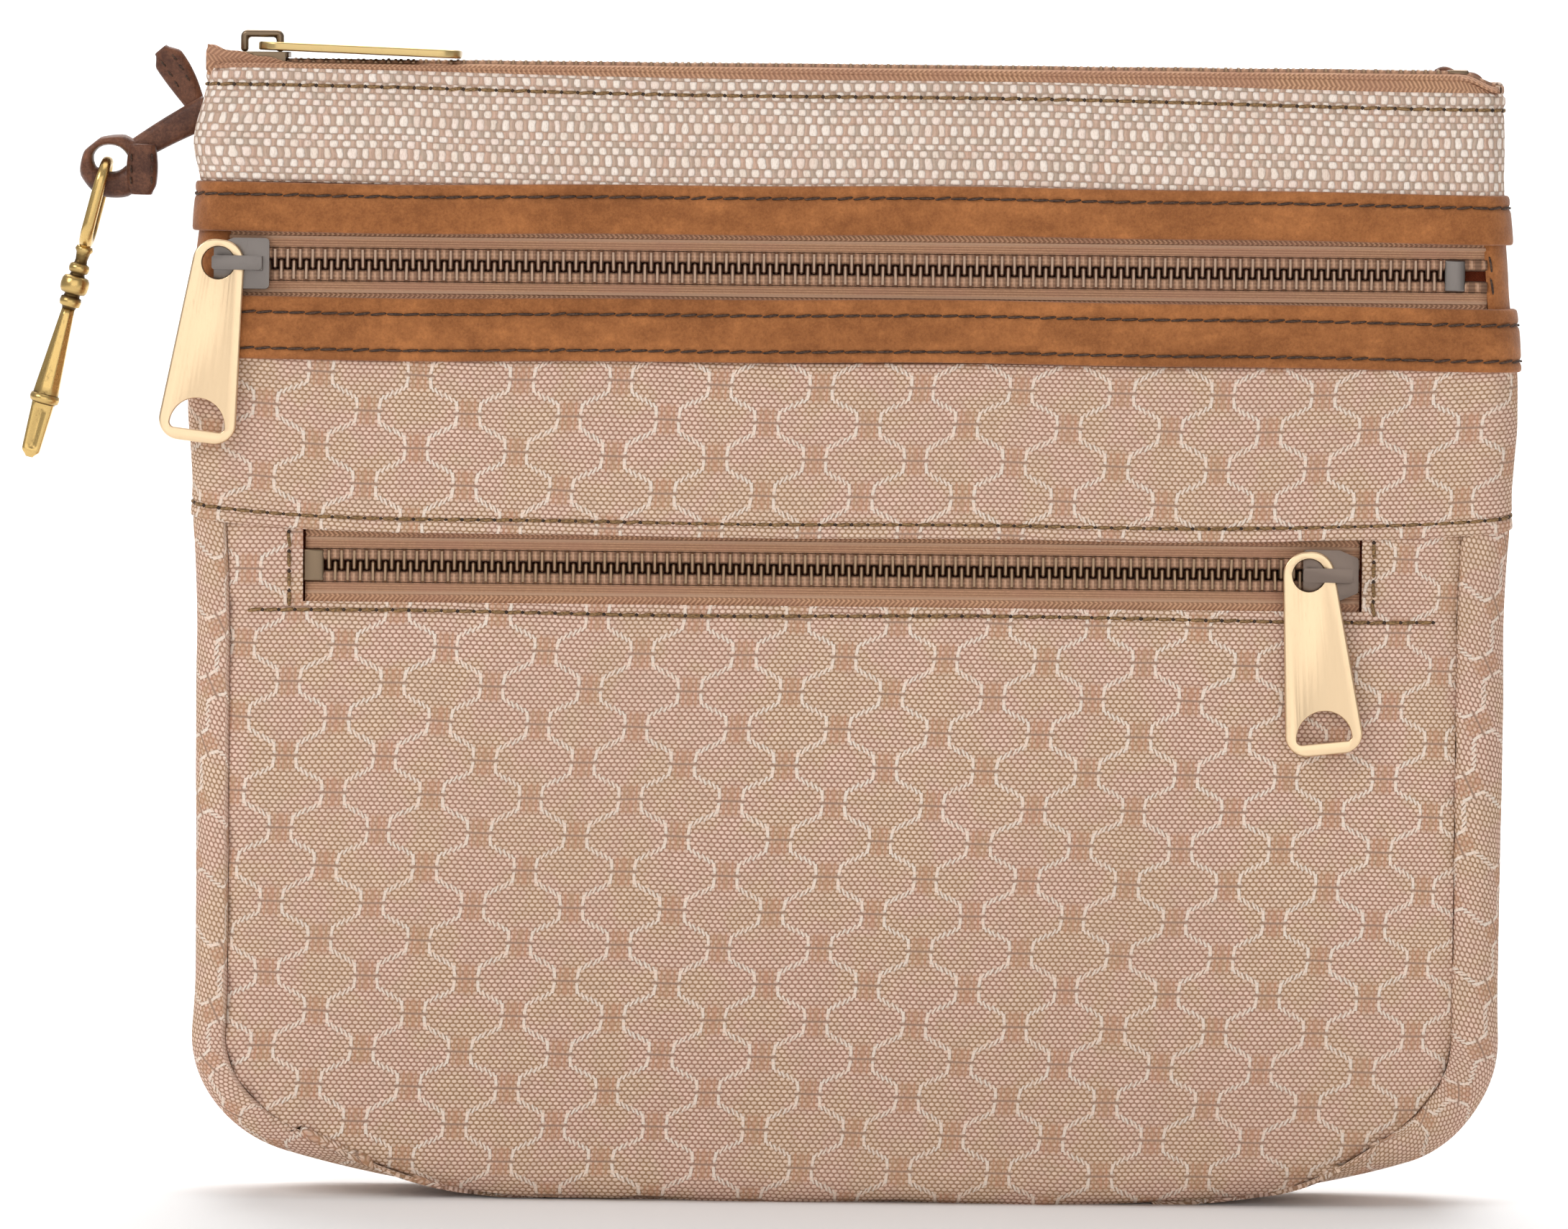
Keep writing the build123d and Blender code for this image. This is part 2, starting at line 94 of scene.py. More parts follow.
def soft_noise(x: Array, y: Array, size: float, seed: int) -> Array:
    """Smooth repeatable noise between -1 and 1.

    Random values on a square lattice, eased between neighbours in both directions.

    Args:
        x: First coordinate.
        y: Second coordinate, of the same shape.
        size: Distance between lattice points.
        seed: Which noise.

    Returns:
        Noise of the same shape.
    """
    table = np.random.default_rng(seed).uniform(-1.0, 1.0, (64, 64))
    gx, gy = np.asarray(x) / size + 500.0, np.asarray(y) / size + 500.0
    ix, iy = np.floor(gx).astype(int), np.floor(gy).astype(int)
    tx, ty = ease(0, 1, gx - ix), ease(0, 1, gy - iy)
    corner = [[table[(ix + i) % 64, (iy + j) % 64] for j in (0, 1)] for i in (0, 1)]
    left = corner[0][0] * (1 - ty) + corner[0][1] * ty
    right = corner[1][0] * (1 - ty) + corner[1][1] * ty
    return left * (1 - tx) + right * tx


def spaced(stops: Sequence[float], step: float) -> Array:
    """Evenly filled values that keep every stop.

    Args:
        stops: Rising values to keep.
        step: Largest step between values.

    Returns:
        The stops with even values between them.
    """
    runs = [
        np.linspace(a, b, max(2, int(math.ceil((b - a) / step)) + 1))[:-1]
        for a, b in zip(stops[:-1], stops[1:])
    ]
    return np.append(np.concatenate(runs), stops[-1])


def unit(vectors: Array) -> Array:
    """Vectors scaled to length 1 along the last axis."""
    return vectors / np.maximum(np.linalg.norm(vectors, axis=-1, keepdims=True), 1e-9)


def lengths(points: Array) -> Array:
    """Distance of each point along the line through them."""
    return np.append(0, np.cumsum(np.linalg.norm(np.diff(points, axis=0), axis=1)))


def place_in_scene(thing: bpy.types.Object) -> bpy.types.Object:
    """Links a new object to the scene and returns it."""
    bpy.context.scene.collection.objects.link(thing)
    return thing


# ---------------------------------------------------------------- meshes


def make_mesh(name: str, points: Array, faces: Array, uv: Array | None = None) -> bpy.types.Object:
    """Mesh object from points in millimetres.

    Args:
        name: Name of the piece.
        points: Points as rows of three.
        faces: Faces as rows of point numbers.
        uv: Cloth coordinates in millimetres for each point, if the finish needs them.

    Returns:
        The new object, at the origin, in metres.
    """
    mesh = bpy.data.meshes.new(name)
    mesh.from_pydata((np.asarray(points) * MM).tolist(), [], np.asarray(faces).tolist())
    if uv is not None:
        layer = mesh.uv_layers.new(name=CLOTH_MAP)
        corners = np.empty(len(mesh.loops), dtype=np.int32)
        mesh.loops.foreach_get("vertex_index", corners)
        layer.data.foreach_set("uv", (np.asarray(uv)[corners] * MM).ravel())
    mesh.polygons.foreach_set("use_smooth", np.ones(len(mesh.polygons), dtype=bool))
    mesh.update()
    return place_in_scene(bpy.data.objects.new(name, mesh))


def grid_faces(rows: int, columns: int, wrap_columns: bool = False) -> Array:
    """Quads of a grid of points.

    Args:
        rows: Number of rows.
        columns: Number of columns.
        wrap_columns: Whether the last column joins the first.

    Returns:
        Rows of four point numbers.
    """
    i, j = np.meshgrid(
        np.arange(rows - 1), np.arange(columns if wrap_columns else columns - 1), indexing="ij"
    )
    k = (j + 1) % columns
    quads = np.stack([i * columns + j, i * columns + k, (i + 1) * columns + k, (i + 1) * columns + j])
    return quads.reshape(4, -1).T


def make_surface(
    name: str,
    points: Array,
    uv: Array | None = None,
    keep: Array | None = None,
    flip: bool = False,
    closed: bool = False,
) -> bpy.types.Object:
    """Object from a grid of points.

    Args:
        name: Name of the piece.
        points: Grid of points, rows by columns by three.
        uv: Cloth coordinates, rows by columns by two.
        keep: Mask of the quads to keep, one less than the points each way.
        flip: Whether to turn the faces round.
        closed: Whether each row is a closed ring.

    Returns:
        The new object.
    """
    rows, columns = points.shape[:2]
    quads = grid_faces(rows, columns, closed)
    if keep is not None:
        quads = quads[keep.ravel()]
    if flip:
        quads = quads[:, ::-1]
    flat_uv = None if uv is None else uv.reshape(-1, 2)
    return make_mesh(name, points.reshape(-1, 3), quads, flat_uv)


def thicken(piece: bpy.types.Object, thickness: float, rim: float = 0.0) -> None:
    """Gives a surface a wall behind it and, if asked, a rounded rim.

    Args:
        piece: The surface.
        thickness: Wall in millimetres, laid behind the face.
        rim: Radius of the rounded rim in millimetres.
    """
    wall = piece.modifiers.new("wall", "SOLIDIFY")
    wall.thickness = thickness * MM
    wall.offset = -1.0
    if rim > 0:
        edge = piece.modifiers.new("rim", "BEVEL")
        edge.width = rim * MM
        edge.segments = 2
        edge.limit_method = "ANGLE"
        edge.angle_limit = math.radians(50)


def ring_frames(path: Array, normal: Array) -> tuple[Array, Array, Array]:
    """Directions along and across a path.

    Args:
        path: Points of the path.
        normal: Rough outward direction at each point.

    Returns:
        Unit tangents, unit sideways vectors and unit outward vectors.
    """
    along = unit(np.gradient(path, axis=0))
    side = unit(np.cross(normal, along))
    return along, side, unit(np.cross(along, side))


def sweep(path: Array, normal: Array, section: Array) -> Array:
    """Closed section carried along a path.

    Each ring is the path point plus the section's two coordinates along the sideways
    and outward vectors there.

    Args:
        path: Points of the path, n by 3.
        normal: Rough outward direction, n by 3.
        section: Sections, n by m by 2 or m by 2.

    Returns:
        Grid of points, n by m by 3.
    """
    _, side, out = ring_frames(path, normal)
    if section.ndim == 2:
        section = np.broadcast_to(section, (len(path), *section.shape))
    across = section[..., :1] * side[:, None, :]
    return path[:, None, :] + across + section[..., 1:] * out[:, None, :]


def round_section(
    half_width: float, half_height: float, power: float, count: int, start: float = 0.0
) -> Array:
    """Superellipse section, nearer a rounded box as the power grows.

    Args:
        half_width: Half size along the first axis.
        half_height: Half size along the second axis.
        power: 2 for an ellipse, 4 and more for a rounded box.
        count: Number of points.
        start: Angle of the first point.

    Returns:
        Points, count by 2.
    """
    turn = np.linspace(0, 2 * np.pi, count, endpoint=False) + start
    reach = (np.abs(np.cos(turn)) ** power + np.abs(np.sin(turn)) ** power) ** (-1.0 / power)
    return np.stack([half_width * reach * np.cos(turn), half_height * reach * np.sin(turn)], -1)


def close_ends(grid: Array) -> Array:
    """Adds a point ring at each end of a tube, drawn in to its middle."""
    first = np.broadcast_to(grid[:1].mean(1, keepdims=True), grid[:1].shape)
    last = np.broadcast_to(grid[-1:].mean(1, keepdims=True), grid[-1:].shape)
    return np.concatenate([first, grid, last])


def weld(piece: bpy.types.Object, distance: float = 0.002) -> bpy.types.Object:
    """Merges points that lie together and turns the faces outwards.

    Args:
        piece: The piece to mend.
        distance: Merge distance in millimetres.

    Returns:
        The same piece.
    """
    work = bmesh.new()
    work.from_mesh(piece.data)
    bmesh.ops.remove_doubles(work, verts=work.verts, dist=distance * MM)
    bmesh.ops.recalc_face_normals(work, faces=work.faces)
    work.to_mesh(piece.data)
    work.free()
    piece.data.update()
    return piece


def mark_recess(piece: bpy.types.Object, amount: Array) -> None:
    """Stores how deep in a hollow each point lies, from 0 to 1.

    Args:
        piece: The piece.
        amount: One value for each point.
    """
    layer = piece.data.attributes.new(RECESS, "FLOAT", "POINT")
    layer.data.foreach_set("value", np.asarray(amount, dtype=np.float32).ravel())


def make_tube(
    name: str, path: Array, normal: Array, section: Array
) -> bpy.types.Object:
    """Solid bar with a closed section carried along a path, its ends closed.

    Args:
        name: Name of the piece.
        path: Points of the path.
        normal: Rough outward direction at each point.
        section: Section or sections.

    Returns:
        The new object, with cloth coordinates along and round it.
    """
    grid = close_ends(sweep(path, normal, section))
    along = lengths(grid[:, 0])
    girth = lengths(grid[len(grid) // 2])
    uv = np.stack(np.broadcast_arrays(along[:, None], girth[None, :]), -1)
    return weld(make_surface(name, grid, uv, closed=True))


def make_ring(
    name: str, path: Array, outward: Array, section: Array, uv: Array | None = None
) -> bpy.types.Object:
    """Closed ring with a section carried round a path whose last point is its first.

    Args:
        name: Name of the piece.
        path: Points of the path.
        outward: Outward direction at each point.
        section: Sections, one for each point.
        uv: Cloth coordinates, one less than the points along the path.

    Returns:
        The new object.
    """
    grid = sweep(path, outward, section)[:-1]
    count, around = grid.shape[:2]
    quads = grid_faces(count + 1, around, True) % (count * around)
    return make_mesh(name, grid.reshape(-1, 3), quads, None if uv is None else uv.reshape(-1, 2))


def scatter(name: str, shape: tuple[Array, Array], places: Array, axes: Array) -> bpy.types.Object:
    """One mesh of many copies of a small shape.

    Args:
        name: Name of the piece.
        shape: Points and quads of one copy.
        places: Where each copy goes, n by 3.
        axes: Rows are the copy's own x, y and z directions, n by 3 by 3.

    Returns:
        The new object.
    """
    points, quads = shape
    spread = np.einsum("pk,nkc->npc", points, axes) + places[:, None, :]
    faces = quads[None] + (np.arange(len(places)) * len(points))[:, None, None]
    return make_mesh(name, spread.reshape(-1, 3), faces.reshape(-1, quads.shape[1]))


def pod(
    stations: Sequence[tuple[float, float, float]], count: int, power: float, start: float = 0.0
) -> tuple[Array, Array]:
    """Small closed body with a superellipse section along its x axis.

    Args:
        stations: Distance along x, half width in y and half height in z of each ring.
        count: Points in a ring.
        power: Squareness of the section.
        start: Angle of the first point of a ring.

    Returns:
        Points and quads.
    """
    rings = []
    for distance, width, height in stations:
        ring = round_section(width, height, power, count, start)
        rings.append(np.column_stack([np.full(count, distance), ring]))
    grid = close_ends(np.array(rings))
    return grid.reshape(-1, 3), grid_faces(len(grid), count, True)[:, ::-1]


# ---------------------------------------------------------------- shader maths


class Signal:
    """A shader value that takes part in arithmetic."""

    def __init__(self, graph: "Graph", socket: bpy.types.NodeSocket) -> None:
        """Wraps a socket of a graph."""
        self.graph = graph
        self.socket = socket

    def __add__(self, other: "Term") -> "Signal":
        """Sum."""
        return self.graph.maths("ADD", self, other)

    def __radd__(self, other: "Term") -> "Signal":
        """Sum with a number in front."""
        return self.graph.maths("ADD", other, self)

    def __sub__(self, other: "Term") -> "Signal":
        """Difference."""
        return self.graph.maths("SUBTRACT", self, other)

    def __rsub__(self, other: "Term") -> "Signal":
        """Difference with a number in front."""
        return self.graph.maths("SUBTRACT", other, self)

    def __mul__(self, other: "Term") -> "Signal":
        """Product."""
        return self.graph.maths("MULTIPLY", self, other)

    def __rmul__(self, other: "Term") -> "Signal":
        """Product with a number in front."""
        return self.graph.maths("MULTIPLY", other, self)

    def __truediv__(self, other: "Term") -> "Signal":
        """Quotient."""
        return self.graph.maths("DIVIDE", self, other)

    def __neg__(self) -> "Signal":
        """Opposite."""
        return self.graph.maths("MULTIPLY", self, -1.0)

    def __abs__(self) -> "Signal":
        """Size without sign."""
        return self.graph.maths("ABSOLUTE", self)

    def __pow__(self, power: "Term") -> "Signal":
        """Power."""
        return self.graph.maths("POWER", self, power)

    def floor(self) -> "Signal":
        """Whole part."""
        return self.graph.maths("FLOOR", self)

    def fraction(self) -> "Signal":
        """Part after the whole number."""
        return self.graph.maths("FRACT", self)

    def fold(self, scale: float) -> "Signal":
        """Triangle wave that runs 0 to scale and back."""
        return self.graph.maths("PINGPONG", self, scale)

    def modulo(self, other: "Term") -> "Signal":
        """Remainder."""
        return self.graph.maths("FLOORED_MODULO", self, other)

    def most(self, other: "Term") -> "Signal":
        """Larger of two."""
        return self.graph.maths("MAXIMUM", self, other)

    def sine(self) -> "Signal":
        """Sine of the value in radians."""
        return self.graph.maths("SINE", self)

    def above(self, other: "Term") -> "Signal":
        """1 where larger than the other, else 0."""
        return self.graph.maths("GREATER_THAN", self, other)

    def step(self, low: float, high: float) -> "Signal":
        """Smooth step from 0 at low to 1 at high, or falling where low is the larger."""
        node = self.graph.node(
            "ShaderNodeMapRange",
            {"interpolation_type": "SMOOTHSTEP"},
            {"Value": self, "From Min": low, "From Max": high},
        )
        return Signal(self.graph, node.outputs["Result"])


Term = Signal | float


class Graph:
    """Builds the nodes of one material."""

    def __init__(self, name: str) -> None:
        """Starts a material with its surface shader."""
        self.material = bpy.data.materials.new(name)
        self.material.use_nodes = True
        self.tree = self.material.node_tree
        self.shader = self.tree.nodes["Principled BSDF"]

    def node(self, kind: str, settings: dict, inputs: dict) -> bpy.types.Node:
        """Adds a node.

        Args:
            kind: Type of the node.
            settings: Its settings, set first.
            inputs: Values or signals for its sockets, by name or number.

        Returns:
            The node.
        """
        node = self.tree.nodes.new(kind)
        for key, value in settings.items():
            setattr(node, key, value)
        for key, value in inputs.items():
            self.feed(node.inputs[key], value)
        return node

    def feed(self, socket: bpy.types.NodeSocket, value: object) -> None:
        """Links or sets one socket.

        Args:
            socket: The input.
            value: A signal, a socket, a colour of three parts or a plain value.
        """
        if isinstance(value, Signal):
            self.tree.links.new(value.socket, socket)
        elif isinstance(value, bpy.types.NodeSocket):
            self.tree.links.new(value, socket)
        elif isinstance(value, tuple) and len(value) == 3 and len(socket.default_value) == 4:
            socket.default_value = (*value, 1.0)
        else:
            socket.default_value = value

    def maths(self, operation: str, *values: Term) -> Signal:
        """One Math node."""
        inputs = dict(enumerate(values))
        return Signal(self, self.node("ShaderNodeMath", {"operation": operation}, inputs).outputs[0])

    def blend(self, share: Term, low: object, high: object, mode: str = "MIX") -> bpy.types.NodeSocket:
        """Colour between two others.

        Args:
            share: How much of the second colour.
            low: First colour.
            high: Second colour.
            mode: How they join.

        Returns:
            The colour's socket.
        """
        node = self.node("ShaderNodeMix", {"data_type": "RGBA", "blend_type": mode}, {})
        for key, value in (("Factor_Float", share), ("A_Color", low), ("B_Color", high)):
            socket = next(item for item in node.inputs if item.identifier == key)
            self.feed(socket, value)
        return next(item for item in node.outputs if item.identifier == "Result_Color")

    def cloth(self) -> tuple[Signal, Signal]:
        """The piece's cloth coordinates, in millimetres."""
        source = self.node("ShaderNodeUVMap", {"uv_map": CLOTH_MAP}, {})
        parts = self.node("ShaderNodeSeparateXYZ", {}, {0: source.outputs[0]})
        return Signal(self, parts.outputs[0]) * 1000.0, Signal(self, parts.outputs[1]) * 1000.0

    def place(self) -> bpy.types.NodeSocket:
        """Object coordinates."""
        return self.node("ShaderNodeTexCoord", {}, {}).outputs["Object"]

    def vector(self, x: Term, y: Term, z: Term = 0.0) -> bpy.types.NodeSocket:
        """Vector from three values."""
        return self.node("ShaderNodeCombineXYZ", {}, {0: x, 1: y, 2: z}).outputs[0]

    def noise(
        self, size: float, detail: float = 2.0, rough: float = 0.5,
        stretch: tuple[float, float, float] | None = None,
    ) -> Signal:
        """Noise between about 0 and 1.

        Args:
            size: Size of a blotch in millimetres.
            detail: Number of finer layers.
            rough: Strength of the finer layers.
            stretch: Factors on the three coordinates.

        Returns:
            The noise.
        """
        where = self.place()
        if stretch is not None:
            where = self.node("ShaderNodeMapping", {}, {"Vector": where, "Scale": stretch}).outputs[0]
        inputs = {"Vector": where, "Scale": 1000.0 / size, "Detail": detail, "Roughness": rough}
        return Signal(self, self.node("ShaderNodeTexNoise", {}, inputs).outputs["Fac"])

    def lottery(self, x: Term, y: Term, seed: float = 0.0) -> Signal:
        """Random value for each whole pair of numbers."""
        where = self.vector(x, y, seed)
        node = self.node("ShaderNodeTexWhiteNoise", {"noise_dimensions": "3D"}, {"Vector": where})
        return Signal(self, node.outputs["Value"])

    def wear(self, width: float) -> Signal:
        """Where the surface is raised or sharp, from 0 in hollows to 1 on edges."""
        node = self.node("ShaderNodeNewGeometry", {}, {})
        return Signal(self, node.outputs["Pointiness"]).step(0.5 - width, 0.5 + width)

    def relief(self, height: Signal, strength: float = 1.0) -> None:
        """Bumps the surface by a height in millimetres."""
        inputs = {"Height": height, "Distance": MM, "Strength": strength}
        bump = self.node("ShaderNodeBump", {}, inputs)
        self.tree.links.new(bump.outputs[0], self.shader.inputs["Normal"])

    def finish(self, **sockets: object) -> bpy.types.Material:
        """Feeds the shader's sockets, named with underscores, and returns the material."""
        for key, value in sockets.items():
            self.feed(self.shader.inputs[key.replace("_", " ")], value)
        return self.material


# ---------------------------------------------------------------- finishes


@dataclass(frozen=True)
class BasketWeave:
    """Coarse basket weave of cream floats over tan and pinkish yarns."""

    pitch: float = 2.45
    cream: Colour = (0.97, 0.83, 0.71)
    pale: Colour = (0.95, 0.84, 0.75)
    gap: Colour = (0.64, 0.42, 0.315)
    grey: Colour = (0.52, 0.405, 0.32)

    def build(self) -> bpy.types.Material:
        """Rows of oval floats, longer in some rows, each with its own tint."""
        g = Graph("basket_weave_cloth")
        u, v = g.cloth()
        v = v + (g.noise(30.0, 1.0) - 0.5) * 1.2
        rows = v * 0.62 + (v * (2 * math.pi / 6.8)).sine() * 0.227
        row = rows.floor()
        across = u / self.pitch + row.modulo(2.0) * 0.5 + (g.lottery(row, 3.0) - 0.5) * 0.14
        across = across + (g.noise(2.0, 1.0) - 0.5) * 0.34
        column = across.floor()
        side = abs(across.fraction() - 0.5)
        fx = side / (0.235 + g.lottery(column, row, 9.0) * 0.08)
        fy = abs(rows.fraction() - 0.5) / (0.40 + g.lottery(column, row, 5.0) * 0.11)
        reach = fx**3.0 + fy**3.2
        luck = g.lottery(column, row)
        mask = reach.step(1.7, 0.6) * (0.72 + luck.step(0.0, 0.5) * 0.28)
        yarn = g.blend(luck, self.cream, self.pale)
        yarn = g.blend(g.lottery(column, row, 7.0).step(0.45, 1.0) * 0.5, yarn, (0.90, 0.68, 0.59))
        half = (across + 0.5).floor()
        ground = g.blend(g.lottery(half, row, 2.0), self.gap, self.grey)
        # Painted shade: a thin dark line beside each float's sides and a darker band between the rows of
        # floats.
        seam = (abs(side - 0.30)).step(0.08, 0.02) * 0.30
        ground = g.blend(seam.most(fy.step(0.70, 1.0) * 0.40), ground, (0.30, 0.19, 0.135))
        ground = g.blend(g.noise(1.4, 2.0).step(0.5, 0.7) * 0.5, ground, (0.72, 0.50, 0.40))
        fibre = g.noise(0.35, 3.0, 0.65, stretch=(1.6, 1.0, 0.5))
        colour = g.blend(mask, ground, yarn)
        colour = g.blend((0.60 - fibre).step(0.0, 0.35) * 0.45, colour, (0.55, 0.38, 0.27))
        dome = (1.0 - reach * 0.8).most(0.0) ** 0.6
        tan_dome = (side - 0.275).most(0.0) * 1.5
        g.relief(dome * 0.45 + tan_dome * (1.0 - mask) + fibre * 0.14, 0.85)
        return g.finish(Base_Color=colour, Roughness=0.9 - mask * 0.1, Specular_IOR_Level=0.15)


@dataclass(frozen=True)
class Jacquard:
    """Beige jacquard: a fine dotted field under a lattice of cream floats."""

    across: float = 19.2
    down: float = 14.06
    dot_x: float = 1.2
    dot_y: float = 0.781
    turn: float = 0.0
    name: str = "jacquard_cloth"

    def build(self) -> bpy.types.Material:
        """Folds the plane into a quarter of one repeat and draws that quarter."""
        g = Graph(self.name)
        u, v = g.cloth()
        if self.turn:
            cos, sin = math.cos(self.turn), math.sin(self.turn)
            u, v = u * cos + v * sin, v * cos - u * sin
        sway = (g.noise(26.0, 1.0) - 0.5) * 2.2
        x = u - v * 0.075 + sway
        y = v + u * 0.013 + (g.noise(33.0, 1.0) - 0.5) * 1.6
        a = x.fold(self.across / 2)
        b = y.fold(self.down / 2)
        far = a.above(self.across / 4)
        near_a = self.across / 4 - abs(a - self.across / 4)
        near_b = b + far * (self.down / 2 - b * 2.0)
        ragged = (g.noise(0.7, 2.0, 0.6) - 0.5) * 0.34
        stroke = (abs(near_a - 2.25 - (near_b - 1.3) * 0.12) + ragged).step(0.40, 0.24)
        stroke = stroke * (abs(near_b - 1.42)).step(1.15, 0.95)
        index = ((near_a - 2.16) / 0.86).floor()
        lx = near_a - (index * 0.86 + 2.6)
        ly = near_b - (index * 0.505 + 2.35)
        dash = (abs(lx - ly * 0.45) + ragged).step(0.30, 0.15) * abs(ly).step(0.80, 0.60)
        dash = dash * near_a.above(2.2)
        mark = stroke.most(dash)
        bar = near_b.step(0.30, 0.10) * near_a.step(3.2, 2.6)
        core = near_a.step(2.1, 1.6) * near_b.step(3.3, 2.3)
        rows = y / self.dot_y
        row = rows.floor()
        cols = x / self.dot_x + row.modulo(2.0) * 0.5
        column = cols.floor()
        fx = (cols.fraction() - 0.5) / 0.43
        fy = (rows.fraction() - 0.5) / 0.46
        reach = fx * fx + fy * fy
        dot = reach.step(1.25, 0.40)
        luck = g.lottery(column, row)
        hue = g.noise(10.0, 2.0, 0.6).step(0.40, 0.62)
        light = g.blend(hue, (0.86, 0.615, 0.505), (0.83, 0.62, 0.475))
        light = g.blend(luck * 0.6, light, (0.66, 0.47, 0.36))
        ground = g.blend(hue, (0.365, 0.20, 0.138), (0.355, 0.21, 0.118))
        ground = g.blend(g.noise(4.0, 2.0).step(0.5, 0.75) * 0.4, ground, (0.33, 0.22, 0.155))
        field = g.blend(dot, ground, light)
        warp = g.noise(1.1, 2.0, 0.6, stretch=(3.0, 1.0, 0.25))
        tan = g.blend(warp.step(0.4, 0.65), (0.52, 0.25, 0.145), (0.46, 0.27, 0.15))
        stripe = (near_a * (2 * math.pi / 0.95)).sine() * 0.5 + 0.5
        field = g.blend(core * (stripe * 0.45 + 0.22), field, tan)
        cream = g.blend(luck, (0.88, 0.70, 0.575), (0.84, 0.73, 0.63))
        step = (near_b * (2 * math.pi / 0.62)).sine() * 0.5 + 0.5
        field = g.blend(mark * (0.97 - step * 0.22), field, cream)
        field = g.blend(bar * 0.7, field, (0.30, 0.20, 0.15))
        fleck = g.noise(2.2, 3.0, 0.7, stretch=(1.0, 1.0, 3.5)).step(0.725, 0.77)
        field = g.blend(fleck * 0.6, field, (0.13, 0.08, 0.055))
        pale = g.noise(2.6, 3.0, 0.7, stretch=(0.6, 1.0, 2.5)).step(0.30, 0.24)
        field = g.blend(pale * 0.35, field, (0.85, 0.72, 0.62))
        shade = g.noise(60.0, 2.0).step(0.3, 0.7)
        field = g.blend(shade * 0.12, field, (0.50, 0.32, 0.22))
        dome = (1.0 - reach).most(0.0) ** 0.5
        height = dome * 0.17 * (1.0 - mark) + mark * 0.30 + g.noise(0.4, 2.0) * 0.06
        g.relief(height, 0.8)
        return g.finish(Base_Color=field, Roughness=0.92 - mark * 0.14, Specular_IOR_Level=0.15)


@dataclass(frozen=True)
class Suede:
    """Matte leather with a short uneven nap."""

    name: str
    light: Colour
    dark: Colour
    nap: float = 0.14
    rough: float = 0.88
    creased: bool = False

    def build(self) -> bpy.types.Material:
        """Blotches at three sizes over a fine fibrous nap."""
        g = Graph(self.name)
        broad = g.noise(15.0, 3.0, 0.65, stretch=(0.6, 1.0, 1.6))
        mid = g.noise(2.6, 3.0, 0.65)
        fine = g.noise(0.5, 4.0, 0.75)
        share = (broad * 0.55 + mid * 0.35 + fine * 0.45).step(0.50, 0.86)
        colour = g.blend(share, self.dark, self.light)
        rub = (broad * 0.5 + mid * 0.5).step(0.54, 0.68) * fine.step(0.35, 0.65)
        colour = g.blend(rub * 0.45, colour, tuple(min(1.0, c * 1.35) for c in self.light))
        if self.creased:
            # Painted shade along thin crease lines; the creases are not in the relief.
            crease = abs(g.noise(9.0, 2.0, 0.5, stretch=(2.2, 1.0, 0.5)) - 0.5).step(0.035, 0.0)
            colour = g.blend(crease * 0.35, colour, self.dark)
        g.relief(fine * self.nap + mid * 0.12 + broad * 0.25, 0.9)
        sheen = 0.25 if self.rough > 0.7 else 0.05
        return g.finish(
            Base_Color=colour, Roughness=self.rough - fine * 0.1, Specular_IOR_Level=0.25,
            Sheen_Weight=sheen, Sheen_Roughness=0.5,
        )


@dataclass(frozen=True)
class ZipTape:
    """Brown woven zip tape: plain by the teeth, a cord line, then herringbone."""

    pale: Colour = (0.66, 0.375, 0.225)
    deep: Colour = (0.32, 0.17, 0.098)

    def build(self) -> bpy.types.Material:
        """Twill that changes its slant every millimetre away from the teeth."""
        g = Graph("zip_tape_cloth")
        u, v = g.cloth()
        band = (v / 1.15).floor()
        slant = band.modulo(2.0) * 2.0 - 1.0
        twill = ((u + v * slant * 0.9) * (2 * math.pi / 0.95)).sine() * 0.5 + 0.5
        ribs = (v * (2 * math.pi / 0.52)).sine() * 0.5 + 0.5
        bone = v.step(5.2, 5.6)
        line = abs(v - 5.15).step(0.34, 0.12)
        weave = twill * bone + ribs * (1.0 - bone) * 0.6
        grain = g.noise(0.4, 3.0, 0.6)
        share = weave * 0.62 + grain * 0.5
        colour = g.blend(share.step(0.2, 1.0), self.deep, self.pale)
        colour = g.blend(g.noise(14.0, 2.0).step(0.4, 0.65) * 0.4, colour, (0.40, 0.20, 0.135))
        colour = g.blend(line * 0.6, colour, (0.52, 0.33, 0.22))
        apart = abs((u / TOOTH_PITCH + 0.5).fraction() - 0.5) * TOOTH_PITCH
        cord = v.step(3.1, 2.9)
        lump = apart.step(0.62, 1.15) * cord * abs(v - 2.15).step(1.0, 0.3)
        colour = g.blend(lump * 0.8, colour, (0.54, 0.33, 0.22))
        # Painted shade: the tape is darkened beside each tooth, under the chain and along the cord's edge.
        crevice_shade = apart.step(0.80, 0.52) * v.step(3.5, 3.15)
        crevice_shade = crevice_shade.most(v.step(1.75, 1.35)).most(abs(v - 3.1).step(0.22, 0.05) * 0.7)
        colour = g.blend(crevice_shade * 0.68, colour, (0.10, 0.058, 0.04))
        g.relief(weave * 0.15 + line * 0.2 + grain * 0.06 + lump * 0.45, 0.85)
        return g.finish(Base_Color=colour, Roughness=0.85, Specular_IOR_Level=0.2)


@dataclass(frozen=True)
class LiningCloth:
    """Plain orange-red lining."""

    def build(self) -> bpy.types.Material:
        """Fine plain weave with slight streaks."""
        g = Graph("lining_cloth")
        u, v = g.cloth()
        weave = (u * 12.0).sine() * (v * 12.0).sine()
        streak = g.noise(2.5, 2.0, stretch=(4.0, 1.0, 0.4))
        colour = g.blend(streak, (0.42, 0.075, 0.028), (0.60, 0.12, 0.045))
        colour = g.blend(weave.step(-1.0, 1.0) * 0.25, colour, (0.30, 0.05, 0.02))
        g.relief(weave * 0.05, 0.7)
        return g.finish(Base_Color=colour, Roughness=0.82, Specular_IOR_Level=0.25)


